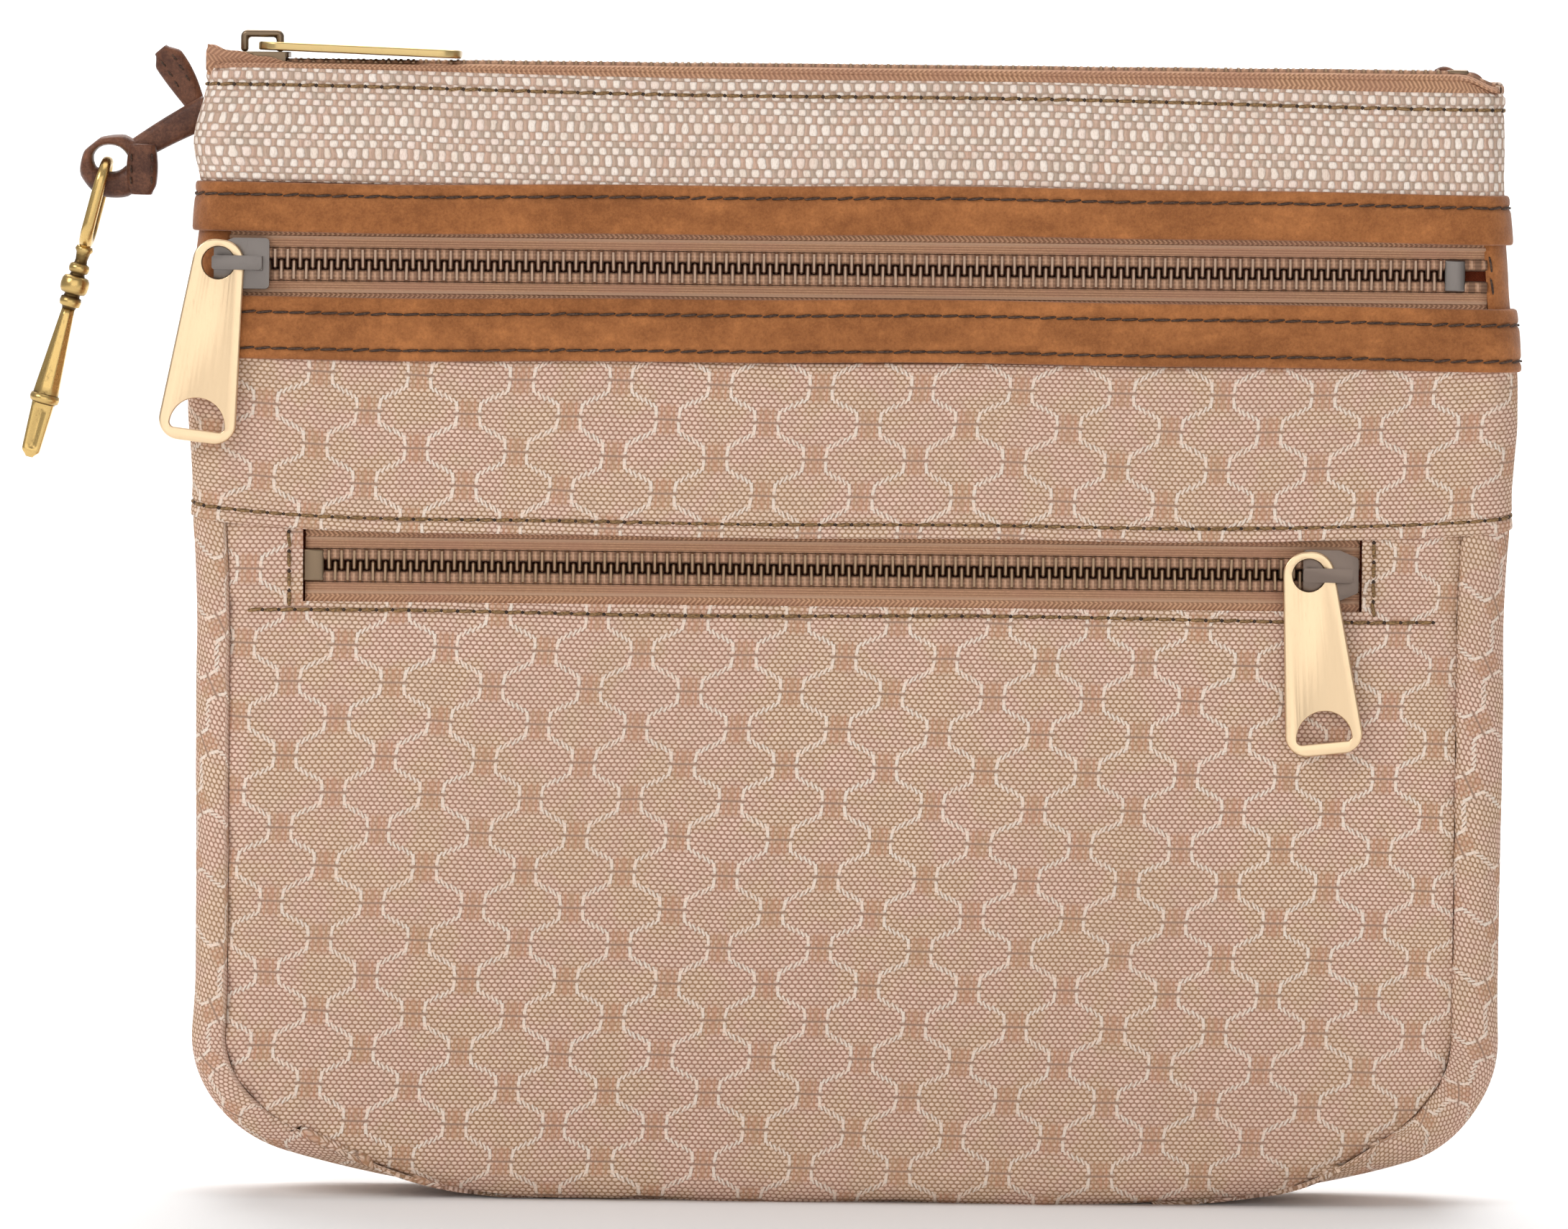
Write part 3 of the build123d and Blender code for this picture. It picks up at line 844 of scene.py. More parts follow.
@dataclass(frozen=True)
class Plating:
    """Plated metal, bright on its edges, with tarnish in its hollows."""

    name: str
    bright: Colour
    tarnish: Colour
    rough: float
    age: float
    brushed: float = 0.0
    metal: float = 1.0

    def build(self) -> bpy.types.Material:
        """Mixes bright metal and tarnish by edge wear and blotches."""
        g = Graph(self.name)
        edge = g.wear(0.05)
        hollow = Signal(g, g.node("ShaderNodeAttribute", {"attribute_name": RECESS}, {}).outputs["Fac"])
        cloud = g.noise(4.0, 4.0, 0.65)
        speck = g.noise(0.7, 3.0, 0.7)
        grime = (cloud * 0.6 + speck * 0.4 - edge * 0.25 + hollow * 0.35).step(0.38, 0.66) * self.age
        grime = grime.most(hollow * 0.95)
        colour = g.blend(grime, self.bright, self.tarnish)
        hair = g.noise(0.16, 2.0, 0.5, stretch=(1.0, 1.0, 0.05))
        scratch = g.noise(0.9, 2.0, 0.8, stretch=(6.0, 6.0, 0.4)).step(0.66, 0.72)
        g.relief(hair * self.brushed + cloud * 0.03 - scratch * 0.012 + speck * 0.012 * self.age, 0.6)
        rough = self.rough + grime * 0.22 + speck * 0.06 + scratch * 0.08
        return g.finish(Base_Color=colour, Roughness=rough, Metallic=self.metal)


@dataclass(frozen=True)
class Thread:
    """Waxed sewing thread with a visible twist."""

    name: str
    light: Colour
    dark: Colour

    def build(self) -> bpy.types.Material:
        """Fine slanted stripes across the thread."""
        g = Graph(self.name)
        twist = g.noise(0.5, 2.0, 0.5, stretch=(1.0, 1.0, 2.5))
        colour = g.blend(twist.step(0.35, 0.65), self.dark, self.light)
        g.relief(twist * 0.08, 0.6)
        return g.finish(Base_Color=colour, Roughness=0.6, Specular_IOR_Level=0.35)


@dataclass(frozen=True)
class PaleFloor:
    """Plain pale matte studio floor."""

    def build(self) -> bpy.types.Material:
        """Near-white paint with the faintest mottling."""
        g = Graph("pale_floor")
        colour = g.blend(g.noise(300.0, 2.0), (0.90, 0.90, 0.90), (0.92, 0.92, 0.92))
        return g.finish(Base_Color=colour, Roughness=0.9, Specular_IOR_Level=0.1)


class Finish(Enum):
    """The pouch's finishes by name."""

    BASKET = BasketWeave()
    JACQUARD = Jacquard()
    GUSSET = Jacquard(turn=0.5, name="jacquard_cloth_turned")
    SUEDE = Suede("suede_leather", (0.42, 0.155, 0.046), (0.235, 0.078, 0.020))
    DARK_LEATHER = Suede("dark_leather", (0.21, 0.085, 0.045), (0.062, 0.022, 0.013), 0.06, 0.42, True)
    TAPE = ZipTape()
    LINING = LiningCloth()
    SATIN_GOLD = Plating("satin_gold", (0.80, 0.595, 0.375), (0.52, 0.34, 0.15), 0.27, 0.35, 0.010)
    OLD_GOLD = Plating("old_gold", (0.62, 0.45, 0.20), (0.25, 0.16, 0.06), 0.28, 0.6, 0.006)
    GUNMETAL = Plating("gunmetal", (0.20, 0.175, 0.16), (0.07, 0.06, 0.055), 0.32, 0.6, 0.004)
    BROWN_METAL = Plating("brown_metal", (0.19, 0.145, 0.12), (0.06, 0.045, 0.036), 0.3, 0.6, 0.004)
    DARK_BRASS = Plating("dark_brass", (0.22, 0.155, 0.10), (0.06, 0.04, 0.028), 0.33, 0.75)
    ROSY_TEETH = Plating("rosy_teeth", (0.42, 0.29, 0.21), (0.20, 0.13, 0.09), 0.42, 0.5)
    BROWN_TEETH = Plating("brown_teeth", (0.35, 0.235, 0.15), (0.14, 0.092, 0.058), 0.42, 0.5)
    ANTIQUE_BRASS = Plating("antique_brass", (0.66, 0.45, 0.17), (0.085, 0.048, 0.018), 0.24, 0.8)
    DARK_THREAD = Thread("dark_thread", (0.10, 0.05, 0.028), (0.022, 0.011, 0.007))
    OLIVE_THREAD = Thread("olive_thread", (0.33, 0.19, 0.075), (0.11, 0.06, 0.022))
    # Painted shade for the needle holes beside the stitches.
    NEEDLE_HOLE_SHADE = Thread("needle_hole_shade", (0.06, 0.03, 0.015), (0.015, 0.008, 0.005))
    FLOOR = PaleFloor()


class Wardrobe:
    """Makes each finish's material once and puts it on pieces."""

    def __init__(self) -> None:
        """Starts with no material made."""
        self.made: dict[Finish, bpy.types.Material] = {}

    def dress(self, piece: bpy.types.Object, finish: Finish) -> None:
        """Gives every slot of a piece the finish.

        Args:
            piece: The piece.
            finish: Its finish, whose material is made the first time.
        """
        if finish not in self.made:
            self.made[finish] = finish.value.build()
        material = self.made[finish]
        if piece.data.materials:
            for index in range(len(piece.data.materials)):
                piece.data.materials[index] = material
        else:
            piece.data.materials.append(material)


@dataclass
class Shop:
    """What every sub-assembly needs to hand its pieces over."""

    wardrobe: Wardrobe

    def hand_over(
        self, piece: bpy.types.Object, finish: Finish, body: str, slot: str,
        nodes: Iterable[str] = (),
    ) -> bpy.types.Object:
        """Dresses a piece and ties it to its body.

        Args:
            piece: The finished piece.
            finish: Its finish.
            body: The body it rides on.
            slot: The record's material slot; not used.
            nodes: The plain nodes it stands for.

        Returns:
            The same piece.
        """
        self.wardrobe.dress(piece, finish)
        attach(piece, body)
        if nodes:
            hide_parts(*nodes)
        LOG.info("%s on %s", piece.name, body)
        return piece

    def polish(
        self, node: str, finish: Finish, body: str, slot: str, edge: float
    ) -> bpy.types.Object:
        """Copy of a metal node with its sharp edges eased.

        Args:
            node: The node copied.
            finish: Its finish.
            body: The body it rides on.
            slot: The record's material slot.
            edge: Width of the eased edge in millimetres.

        Returns:
            The new piece.
        """
        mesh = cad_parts[node].data.copy()
        piece = place_in_scene(bpy.data.objects.new(f"{node}_polished", mesh))
        work = bmesh.new()
        work.from_mesh(mesh)
        bmesh.ops.remove_doubles(work, verts=work.verts, dist=0.002 * MM)
        bmesh.ops.dissolve_limit(
            work, angle_limit=math.radians(1.0), verts=work.verts, edges=work.edges
        )
        work.to_mesh(mesh)
        work.free()
        mesh.polygons.foreach_set("use_smooth", np.ones(len(mesh.polygons), dtype=bool))
        bevel = piece.modifiers.new("eased_edges", "BEVEL")
        bevel.width = edge * MM
        bevel.segments = 2
        bevel.limit_method = "ANGLE"
        bevel.angle_limit = math.radians(30)
        bevel.harden_normals = True
        return self.hand_over(piece, finish, body, slot, [node])


# ---------------------------------------------------------------- pouch form


@dataclass(frozen=True)
class PouchForm:
    """The pouch's outer form, the same as its solids, with cloth's small give."""

    half_width: float = 126.5
    height: float = 217.0
    base_half: float = 45.0
    bow: float = 233.0
    corner: float = 25.0
    top_depth: float = 8.0
    lean: float = math.radians(2.9)
    belly_top: float = 105.0
    belly_radius: float = 1339.0
    edge: float = 6.0
    fold_z: float = 129.0
    seam_top: float = 133.5

    def half_depth(self, z: Array) -> Array:
        """Half depth at a height: a straight lean above the belly, an arc below."""
        z = np.asarray(z, float)
        lean = self.top_depth + (self.height - z) * math.tan(self.lean)
        at_belly = self.top_depth + (self.height - self.belly_top) * math.tan(self.lean)
        centre_z = self.belly_top - self.belly_radius * math.sin(self.lean)
        centre_y = at_belly - self.belly_radius * math.cos(self.lean)
        arc = centre_y + np.sqrt(self.belly_radius**2 - (np.minimum(z, 120) - centre_z) ** 2)
        return np.where(z >= self.belly_top, lean, arc)

    def outline(self, top: float, step: float) -> tuple[Array, Array]:
        """Front outline from the right side at a height, round the bottom, to the left.

        Args:
            top: Height where it starts and ends.
            step: Distance between points.

        Returns:
            Points as x and z, and inward unit normals.
        """
        corner_x = self.half_width - self.corner
        turn = math.asin((corner_x - self.base_half) / (self.bow - self.corner))
        corner_z = self.bow - (self.bow - self.corner) * math.cos(turn)
        side = np.array([[self.half_width, top], [self.half_width, corner_z]])
        angle = np.linspace(math.pi / 2, turn, 60)
        bend = np.stack([corner_x + self.corner * np.sin(angle), corner_z - self.corner * np.cos(angle)], -1)
        angle = np.linspace(turn, 0, 40)
        belly = np.stack([self.base_half + self.bow * np.sin(angle), self.bow - self.bow * np.cos(angle)], -1)
        right = np.concatenate([side, bend[1:], belly[1:], [[0.0, 0.0]]])
        whole = np.concatenate([right, (right * [-1, 1])[-2::-1]])
        length = lengths(whole)
        even = np.linspace(0, length[-1], int(length[-1] / step) // 2 * 2 + 1)
        points = np.stack([np.interp(even, length, whole[:, k]) for k in (0, 1)], -1)
        along = unit(np.gradient(points, axis=0))
        return points, np.stack([along[:, 1], -along[:, 0]], -1)

    def seam_inset(self, points: Array) -> Array:
        """How far the strip's seam lies inside the outline: wide up the sides, nothing below."""
        x = points[:, 0]
        right = 10.0 * ease(80, 122, x)
        return right + 6.8 * ease(72, 122, -x)

    def seam(self, step: float) -> tuple[Array, Array, Array]:
        """Seam between a panel and the strip.

        Args:
            step: Distance between points.

        Returns:
            Outline points, inward normals and seam points.
        """
        points, inward = self.outline(self.seam_top, step)
        return points, inward, points + inward * self.seam_inset(points)[:, None]

    def round_over(self, inset: Array) -> Array:
        """How far the face lies back near the rounded edge, a quarter circle."""
        short = np.clip(self.edge - inset, 0, self.edge)
        return self.edge - np.sqrt(np.maximum(self.edge**2 - short**2, 0))

    def wrap(self, s: Array, z: Array, lift: Array) -> Array:
        """Point on the face or its rounded side.

        Args:
            s: Distance round the section from the middle of the face.
            z: Height.
            lift: Height above the cloth's face.

        Returns:
            Points: straight along the face, a quarter turn, then back along the side.
        """
        flat = self.half_width - self.edge
        turn = np.clip((np.abs(s) - flat) / self.edge, 0, math.pi / 2)
        past = np.maximum(np.abs(s) - flat - self.edge * math.pi / 2, 0)
        radius = self.edge + lift
        x = np.sign(s) * (np.minimum(np.abs(s), flat) + radius * np.sin(turn))
        y = -(self.half_depth(z) - self.edge) - radius * np.cos(turn) + past
        return np.stack([x, y, np.broadcast_to(z, x.shape)], -1)

    def give(self, points: Array) -> Array:
        """Cloth's own shape: the sides swell and draw in a little with height.

        Args:
            points: Points on the pouch.

        Returns:
            Points moved sideways in proportion to their distance from the middle.
        """
        x, z = points[..., 0], points[..., 2]
        left = -1.3 + 3.2 * bell(160, 30, z) + 2.2 * bell(203, 7, z) + 0.9 * bell(20, 14, z)
        right = -2.4 + 2.9 * bell(155, 25, z)
        left, right = left + 0.9 * ease(137, 129, z), right + 0.8 * ease(137, 129, z)
        share = np.sign(x) * ease(100, 127, np.abs(x))
        move = np.where(x < 0, left, right) * share
        ripple = 0.35 * soft_noise(z, z * 0 + 3, 14, 5) * np.abs(share) ** 8
        shift = np.stack([move + ripple * np.sign(x), 0 * x, 0 * x], -1)
        return points + shift


@dataclass(frozen=True)
class Chain:
    """Where a zip's chain runs: its middle, and its directions across and out."""

    origin: tuple[float, float, float]
    across: tuple[float, float, float]
    out: tuple[float, float, float]

    def at(self, x: Array, u: Array, w: Array) -> Array:
        """Points at distances along, across and out of the chain."""
        x, u, w = np.broadcast_arrays(x, u, w)
        spread = u[..., None] * np.array(self.across) + w[..., None] * np.array(self.out)
        return np.array(self.origin) + spread + x[..., None] * np.array([1.0, 0.0, 0.0])

    def axes(self, side: float) -> Array:
        """Rows: across towards a side, along, and out."""
        return np.array([np.array(self.across) * side, [1.0, 0.0, 0.0], self.out])


def wall_chain(form: PouchForm, z: float, depth: float) -> Chain:
    """Chain behind the leaning front wall.

    Args:
        form: The pouch's form.
        z: Height of the chain.
        depth: How far the chain's middle lies behind the wall's face.

    Returns:
        The chain's place.
    """
    cos, sin = math.cos(form.lean), math.sin(form.lean)
    y = -float(form.half_depth(z))
    return Chain((0.0, y + cos * depth, z - sin * depth), (0.0, sin, cos), (0.0, -cos, sin))


# ---------------------------------------------------------------- stitches


@dataclass(frozen=True)
class Stitcher:
    """Runs of machine stitches along a line on a surface."""

    pitch: float = 3.15
    length: float = 2.9
    radius: float = 0.30
    slant: float = 0.10
    hole_shades: bool = False

    def run(
        self, name: str, line: Array, normal: Array, shop: Shop, finish: Finish, body: str,
        slot: str,
    ) -> None:
        """Sews along a line.

        Args:
            name: Name of the piece.
            line: Points of the line on the surface.
            normal: Outward direction at each point.
            shop: Where the pieces go.
            finish: The thread.
            body: The body it rides on.
            slot: The record's material slot.
        """
        length = lengths(line)
        count = max(2, int(length[-1] / self.pitch))
        middles = (np.arange(count) + 0.5) * length[-1] / count
        place = np.stack([np.interp(middles, length, line[:, k]) for k in range(3)], -1)
        out = unit(np.stack([np.interp(middles, length, normal[:, k]) for k in range(3)], -1))
        ahead = np.stack([np.interp(middles + 0.6, length, line[:, k]) for k in range(3)], -1)
        behind = np.stack([np.interp(middles - 0.6, length, line[:, k]) for k in range(3)], -1)
        along = unit(ahead - behind)
        side = unit(np.cross(out, along))
        luck = np.random.default_rng(len(name) * 7 + count)
        tilt = self.slant + luck.normal(0, 0.05, count)[:, None]
        lean = unit(along + side * tilt)
        side = unit(np.cross(out, lean))
        half = self.length / 2
        r = self.radius
        stations = [
            (-half, 0.35 * r, 0.3 * r), (-0.8 * half, 0.85 * r, 0.8 * r), (-0.25 * half, r, r),
            (0.25 * half, r, r), (0.8 * half, 0.85 * r, 0.8 * r), (half, 0.35 * r, 0.3 * r),
        ]
        points, quads = pod(stations, 6, 2.0)
        sunk = points - np.outer((points[:, 0] / half) ** 4, [0, 0, 0.9 * r])
        axes = np.stack([lean, side, out], 1)
        threads = scatter(name, (sunk, quads), place + out * r * 0.45, axes)
        shop.hand_over(threads, finish, body, slot)
        # Near-black pods on the cloth at each needle hole: painted shade in the holes.
        if self.hole_shades:
            edge = place + along * self.pitch * 0.5
            hole = pod([(-0.40, 0.15, 0.15), (0, 0.42, 0.30), (0.40, 0.15, 0.15)], 6, 2.0)
            dark = scatter(f"{name}_holes", hole, edge + out * 0.02, axes)
            shop.hand_over(dark, Finish.NEEDLE_HOLE_SHADE, body, slot)


LEATHER_STITCH = Stitcher(pitch=3.1, length=3.15, radius=0.25, slant=0.09)
CLOTH_STITCH = Stitcher(pitch=3.1, length=2.9, radius=0.36, slant=0.07, hole_shades=True)
BAND_STITCH = Stitcher(pitch=3.1, length=2.95, radius=0.34, slant=0.06, hole_shades=True)


# ---------------------------------------------------------------- walls


@dataclass
class PouchWalls:
    """Cloth and leather walls with their seams."""

    shop: Shop
    form: PouchForm
    band_z: float = 194.9
    upper_window: tuple[float, float] = (173.2, 185.7)
    lower_band_z: float = 161.4
    lower_window_z: float = 115.0
    lower_window_x: tuple[float, float] = (-105.6, 97.2)
    cloth: float = 1.0

    @property
    def reach(self) -> float:
        """Distance round the section to just past the rounded side."""
        form = self.form
        return form.half_width - form.edge + form.edge * math.pi / 2 + 1.4

    def drift(self, s: Array) -> Array:
        """Small wander of a sewn edge up and down."""
        return 0.28 * np.sin(s / 37.0 + 1.0) + 0.12 * np.sin(s / 11.0)

    def top_edge(self, s: Array) -> Array:
        """Height of the band's top edge, lower towards the right."""
        return 215.7 - 1.1 * s / self.form.half_width + 0.25 * np.sin(s / 23.0)

    def swath(
        self, name: str, s: Array, profile: Array, base: Callable[[Array], Array], back: bool,
    ) -> bpy.types.Object:
        """Strip round the face whose profile is carried along a line of heights.

        Args:
            name: Name of the piece.
            s: Distances round the section.
            profile: Rows of height above the base line and lift off the face.
            base: Height of the base line for each distance.
            back: Whether it goes on the back.

        Returns:
            The new piece.
        """
        grid_s = np.broadcast_to(s[None, :], (len(profile), len(s)))
        z = base(grid_s) + profile[:, :1]
        quiver = 0.10 * soft_noise(grid_s, z, 5.0, 11)
        points = self.form.give(self.form.wrap(grid_s, z, profile[:, 1:2] + quiver))
        girth = lengths(profile)
        uv = np.stack([grid_s, np.broadcast_to((girth + z[0, 0])[:, None], grid_s.shape)], -1)
        if back:
            points = points * np.array([1, -1, 1])
        return make_surface(name, points, uv, flip=back)

    def line(self, s: Array, z: Array, lift: float, back: bool = False) -> tuple[Array, Array]:
        """Line on the wall and its outward directions.

        Args:
            s: Distances round the section.
            z: Heights.
            lift: Lift off the face.
            back: Whether it is on the back.

        Returns:
            Points and unit normals.
        """
        low = self.form.give(self.form.wrap(s, z, np.full_like(s, lift)))
        high = self.form.give(self.form.wrap(s, z, np.full_like(s, lift + 1.0)))
        turn = np.array([1, -1, 1]) if back else np.array([1, 1, 1])
        return low * turn, unit((high - low) * turn)

    def build_bands(self) -> None:
        """Basket-weave bands along the top edge, front and back, folded over at the top."""
        s = spaced([-self.reach, -100, 100, self.reach], 0.9)
        lower = self.band_z - 1.0
        for back in (False, True):
            side = "back" if back else "front"

            def base(grid: Array) -> Array:
                """Height of the top edge on this side."""
                return self.top_edge(grid) if not back else 216.6 + 0 * grid

            depth = 215.7 - lower
            face = np.column_stack([np.linspace(-depth, -0.9, 22), np.zeros(22)])
            face[:, 1] -= 0.35 * bell(-3.3, 0.6, face[:, 0])
            face[:, 1] += 0.25 * bell(-1.6, 1.2, face[:, 0]) + 0.25 * bell(-12, 7, face[:, 0])
            turn = np.linspace(0.2, math.pi, 7)
            rim = np.column_stack([-0.9 + 0.9 * np.sin(turn), -0.9 + 0.9 * np.cos(turn)])
            inner = np.column_stack([np.linspace(-1.4, -4.5, 4), np.full(4, -1.8)])
            profile = np.concatenate([face, rim, inner])
            piece = self.swath(f"{side}_basket_band", s, profile, base, back)
            thicken(piece, 0.5)
            self.shop.hand_over(piece, Finish.BASKET, "pouch", "basket_weave", [f"{side}_top_band"])
            seam = np.linspace(-self.reach + 1, self.reach - 1, 260)
            points, normal = self.line(seam, base(seam) - 3.3, -0.12, back)
            BAND_STITCH.run(f"{side}_band_stitching", points, normal, self.shop,
                            Finish.OLIVE_THREAD, "pouch", "basket_weave")

    def leather_profile(self, height: float, rows: Sequence[float]) -> Array:
        """Closed section of a leather band, dipped where it is stitched.

        Args:
            height: Height of the band.
            rows: Heights of the stitch rows above its lower edge.

        Returns:
            Rows of height above the lower edge and lift.
        """
        top, round_edge = 1.0, 0.6
        turn = np.linspace(0, math.pi / 2, 5)
        low = np.column_stack([
            round_edge - round_edge * np.cos(turn), top - round_edge + round_edge * np.sin(turn),
        ])
        face_z = np.linspace(0.75, height - 0.75, 26)
        face = np.column_stack([face_z, top + 0.22 * np.sin(math.pi * face_z / height)])
        for row in rows:
            face[:, 1] -= 0.38 * bell(row, 0.55, face_z)
        high = low[::-1].copy()
        high[:, 0] = height - high[:, 0]
        back = np.array([[height, -0.9], [height / 2, -1.0], [0.0, -0.9]])
        return np.concatenate([low, face, high, back])

    def build_leather(self) -> None:
        """Suede bands above and below the upper zip, with their stitching."""
        bands = (
            ("upper_suede_band", self.upper_window[1], self.band_z, (7.1,), "upper_leather_band"),
            ("lower_suede_band", self.lower_band_z, self.upper_window[0], (2.1, 9.0), "lower_leather_band"),
        )
        s = spaced([-self.reach - 0.4, -110, 110, self.reach + 0.4], 1.2)
        for name, low, high, rows, node in bands:
            profile = self.leather_profile(high - low + 0.3, rows)

            def base(grid: Array) -> Array:
                """Height of the band's lower edge."""
                return low + self.drift(grid)

            closed = np.concatenate([profile, profile[:1]])
            piece = self.swath(name, s, closed, base, False)
            weld(piece)
            self.shop.hand_over(piece, Finish.SUEDE, "pouch", "suede", [node])
            for index, row in enumerate(rows):
                seam = np.linspace(-self.reach + 0.5, self.reach - 0.5, 300)
                points, normal = self.line(seam, base(seam) + row, 0.92)
                LEATHER_STITCH.run(f"{name}_stitching_{index + 1}", points, normal, self.shop,
                                   Finish.DARK_THREAD, "pouch", "suede")

    def build_leather_ends(self) -> None:
        """Short leather pieces that close the upper window at its ends."""
        low, high = self.upper_window
        for side, inner, node in ((-1, 119.2, "left_leather_end"), (1, 121.6, "right_leather_end")):
            s = side * spaced([inner, inner + 1.0, self.reach], 0.35)
            z = np.linspace(low - 0.6, high + 0.6, 24)
            lift = -0.35 - 0.75 * (1 - ease(inner, inner + 1.3, np.abs(s)))
            if side < 0:
                lift = lift - 0.55 * (1 - ease(121, 125, np.abs(s)))
            grid_s, grid_z = np.meshgrid(s, z)
            dish = 0.15 * soft_noise(grid_s, grid_z, 4.0, 21)
            points = self.form.give(self.form.wrap(grid_s, grid_z, lift[None, :] + dish))
            piece = make_surface(f"{node}_suede", points, np.stack([grid_s, grid_z], -1), flip=side < 0)
            thicken(piece, 0.8, 0.2)
            self.shop.hand_over(piece, Finish.SUEDE, "pouch", "suede", [node])
        z = np.linspace(low + 2.2, high - 2.0, 30)
        points, normal = self.line(np.full_like(z, 122.6), z, -0.35)
        LEATHER_STITCH.run("right_end_stitching", points, normal, self.shop,
                           Finish.DARK_THREAD, "pouch", "suede")

    def build_upper_panels(self) -> None:
        """Jacquard panel between the lower leather band and the folded seam; the back above the belly."""
        s = spaced([-self.reach, -112, 112, self.reach], 1.6)
        low, high = 129.2, self.lower_band_z + 1.0
        z = np.append(np.linspace(0, 5, 12), np.linspace(5.8, high - low, 18))
        face = np.column_stack([z, 0.55 - 0.35 * ease(2.6, 9.0, z)])
        face[:, 1] -= 0.40 * bell(2.4, 0.55, z)
        hem = np.array([[3.5, -0.75], [1.2, -0.75], [0.25, -0.55], [-0.25, -0.1], [-0.25, 0.2]])
        profile = np.concatenate([hem, face])

        def base(grid: Array) -> Array:
            """Height of the folded edge, lower in the middle than at the sides."""
            return low - 0.9 + 2.6 * (np.abs(grid) / 126.5) ** 6 + 0.15 * np.sin(grid / 13.0)

        piece = self.swath("upper_jacquard_panel", s, profile, base, False)
        thicken(piece, 0.5)
        self.shop.hand_over(piece, Finish.JACQUARD, "pouch", "jacquard", ["front_upper_panel"])
        seam = np.linspace(-self.reach + 1, self.reach - 1, 300)
        points, normal = self.line(seam, base(seam) + 2.4, 0.12)
        CLOTH_STITCH.run("fold_stitching", points, normal, self.shop, Finish.OLIVE_THREAD,
                         "pouch", "jacquard")
        z = np.linspace(0, self.band_z + 1 - low, 40)
        back = self.swath("upper_back_panel", s, np.column_stack([z, 0 * z]), lambda g: low + 0 * g, True)
        thicken(back, self.cloth)
        self.shop.hand_over(back, Finish.JACQUARD, "pouch", "jacquard")

    def panel_grid(self, side_step: float) -> Array:
        """Grid over the lower panel out to its seam.

        A Coons patch: the sum of the two ruled surfaces between opposite edges less
        the bilinear one between the corners, below a plain grid round the window.

        Args:
            side_step: Largest step between columns.

        Returns:
            Grid of x and z.
        """
        form = self.form
        _, _, seam = form.seam(1.0)
        half = len(seam) // 2
        tangent = np.arctan2(np.gradient(seam[:, 1]), -np.gradient(seam[:, 0]))
        right_corner = int(np.argmin(np.abs(tangent[:half] + math.pi / 4)))
        left_corner = half + int(np.argmin(np.abs(tangent[half:] - math.pi / 4)))
        shelf = 108.0
        left, right = self.lower_window_x
        stops = [seam[-1, 0], left - 1.2, left, left + 1.2, right - 1.2, right, right + 1.2, seam[0, 0]]
        top_x = spaced(stops, side_step)
        share = (top_x - top_x[0]) / (top_x[-1] - top_x[0])

        def along(curve: Array, shares: Array) -> Array:
            """Points at shares of a curve's length."""
            length = lengths(curve)
            where = shares * length[-1]
            return np.stack([np.interp(where, length, curve[:, k]) for k in (0, 1)], -1)

        rows = np.linspace(0, 1, 70)
        bottom = along(seam[right_corner : left_corner + 1][::-1], share)
        right_side = seam[: right_corner + 1][::-1]
        left_side = seam[left_corner:]
        right_side = along(right_side[right_side[:, 1] <= shelf], rows)
        left_side = along(left_side[left_side[:, 1] <= shelf], rows)
        top = np.stack([top_x, np.full_like(top_x, shelf)], -1)
        s, t = share[None, :, None], rows[:, None, None]
        ruled = (1 - t) * bottom[None] + t * top[None]
        ruled = ruled + (1 - s) * left_side[:, None] + s * right_side[:, None]
        corners = (1 - t) * ((1 - s) * bottom[0] + s * bottom[-1]) + t * ((1 - s) * top[0] + s * top[-1])
        patch = ruled - corners
        z = spaced([shelf, self.lower_window_z - 1.2, self.lower_window_z, 116.2, 130.4], 1.3)[1:]
        plain = np.stack(np.meshgrid(top_x, z), -1)
        return np.concatenate([patch, plain])

    def lower_face(self, grid: Array) -> Array:
        """Points of the lower panel on the belly.

        The face lies back near the rounded edge, dips at the seam and at the stitched
        line under the zip, and puckers along both.

        Args:
            grid: Grid of x and z.

        Returns:
            Grid of points.
        """
        form = self.form
        outline, _, seam = form.seam(1.5)
        flat = grid.reshape(-1, 2)
        to_edge = np.sqrt(((flat[:, None] - outline[None]) ** 2).sum(-1)).min(1).reshape(grid.shape[:2])
        gaps = np.sqrt(((flat[:, None] - seam[None]) ** 2).sum(-1))
        to_seam = gaps.min(1).reshape(grid.shape[:2])
        station = gaps.argmin(1).reshape(grid.shape[:2]) * 1.5
        x, z = grid[..., 0], grid[..., 1]
        to_edge = np.where(z > 120, np.minimum(to_edge, form.half_width - np.abs(x)), to_edge)
        pucker = 0.42 * soft_noise(station, 0 * station, 5.5, 31) * np.exp(-to_seam / 7.0)
        corner = ease(95, 118, np.abs(x)) * ease(60, 18, z)
        pucker = pucker * (1 + 1.3 * corner)
        swell = 0.9 * bell(0, 95, x) * bell(62, 38, z) + 0.55 * soft_noise(x, z, 38, 41)
        swell = swell + 0.18 * soft_noise(x, z, 11, 43)
        gather = 0.30 * soft_noise(x, 0 * x, 4.5, 47) * bell(112.0, 4.0, z)
        dip = -0.9 * np.exp(-((to_seam / 1.5) ** 2)) - 0.35 * bell(113.2, 0.6, z)
        roll = -0.5 * ease(2.2, 0.0, self.lower_window_z - z) * ease(118, 115.5, z)
        calm = 1 - 0.85 * ease(104, 112, z)
        lift = (pucker + swell * ease(0, 25, to_seam)) * calm + gather + dip + roll * 0.6
        depth = form.half_depth(z) - form.round_over(to_edge) + lift
        return form.give(np.stack([x, -depth, z], -1))

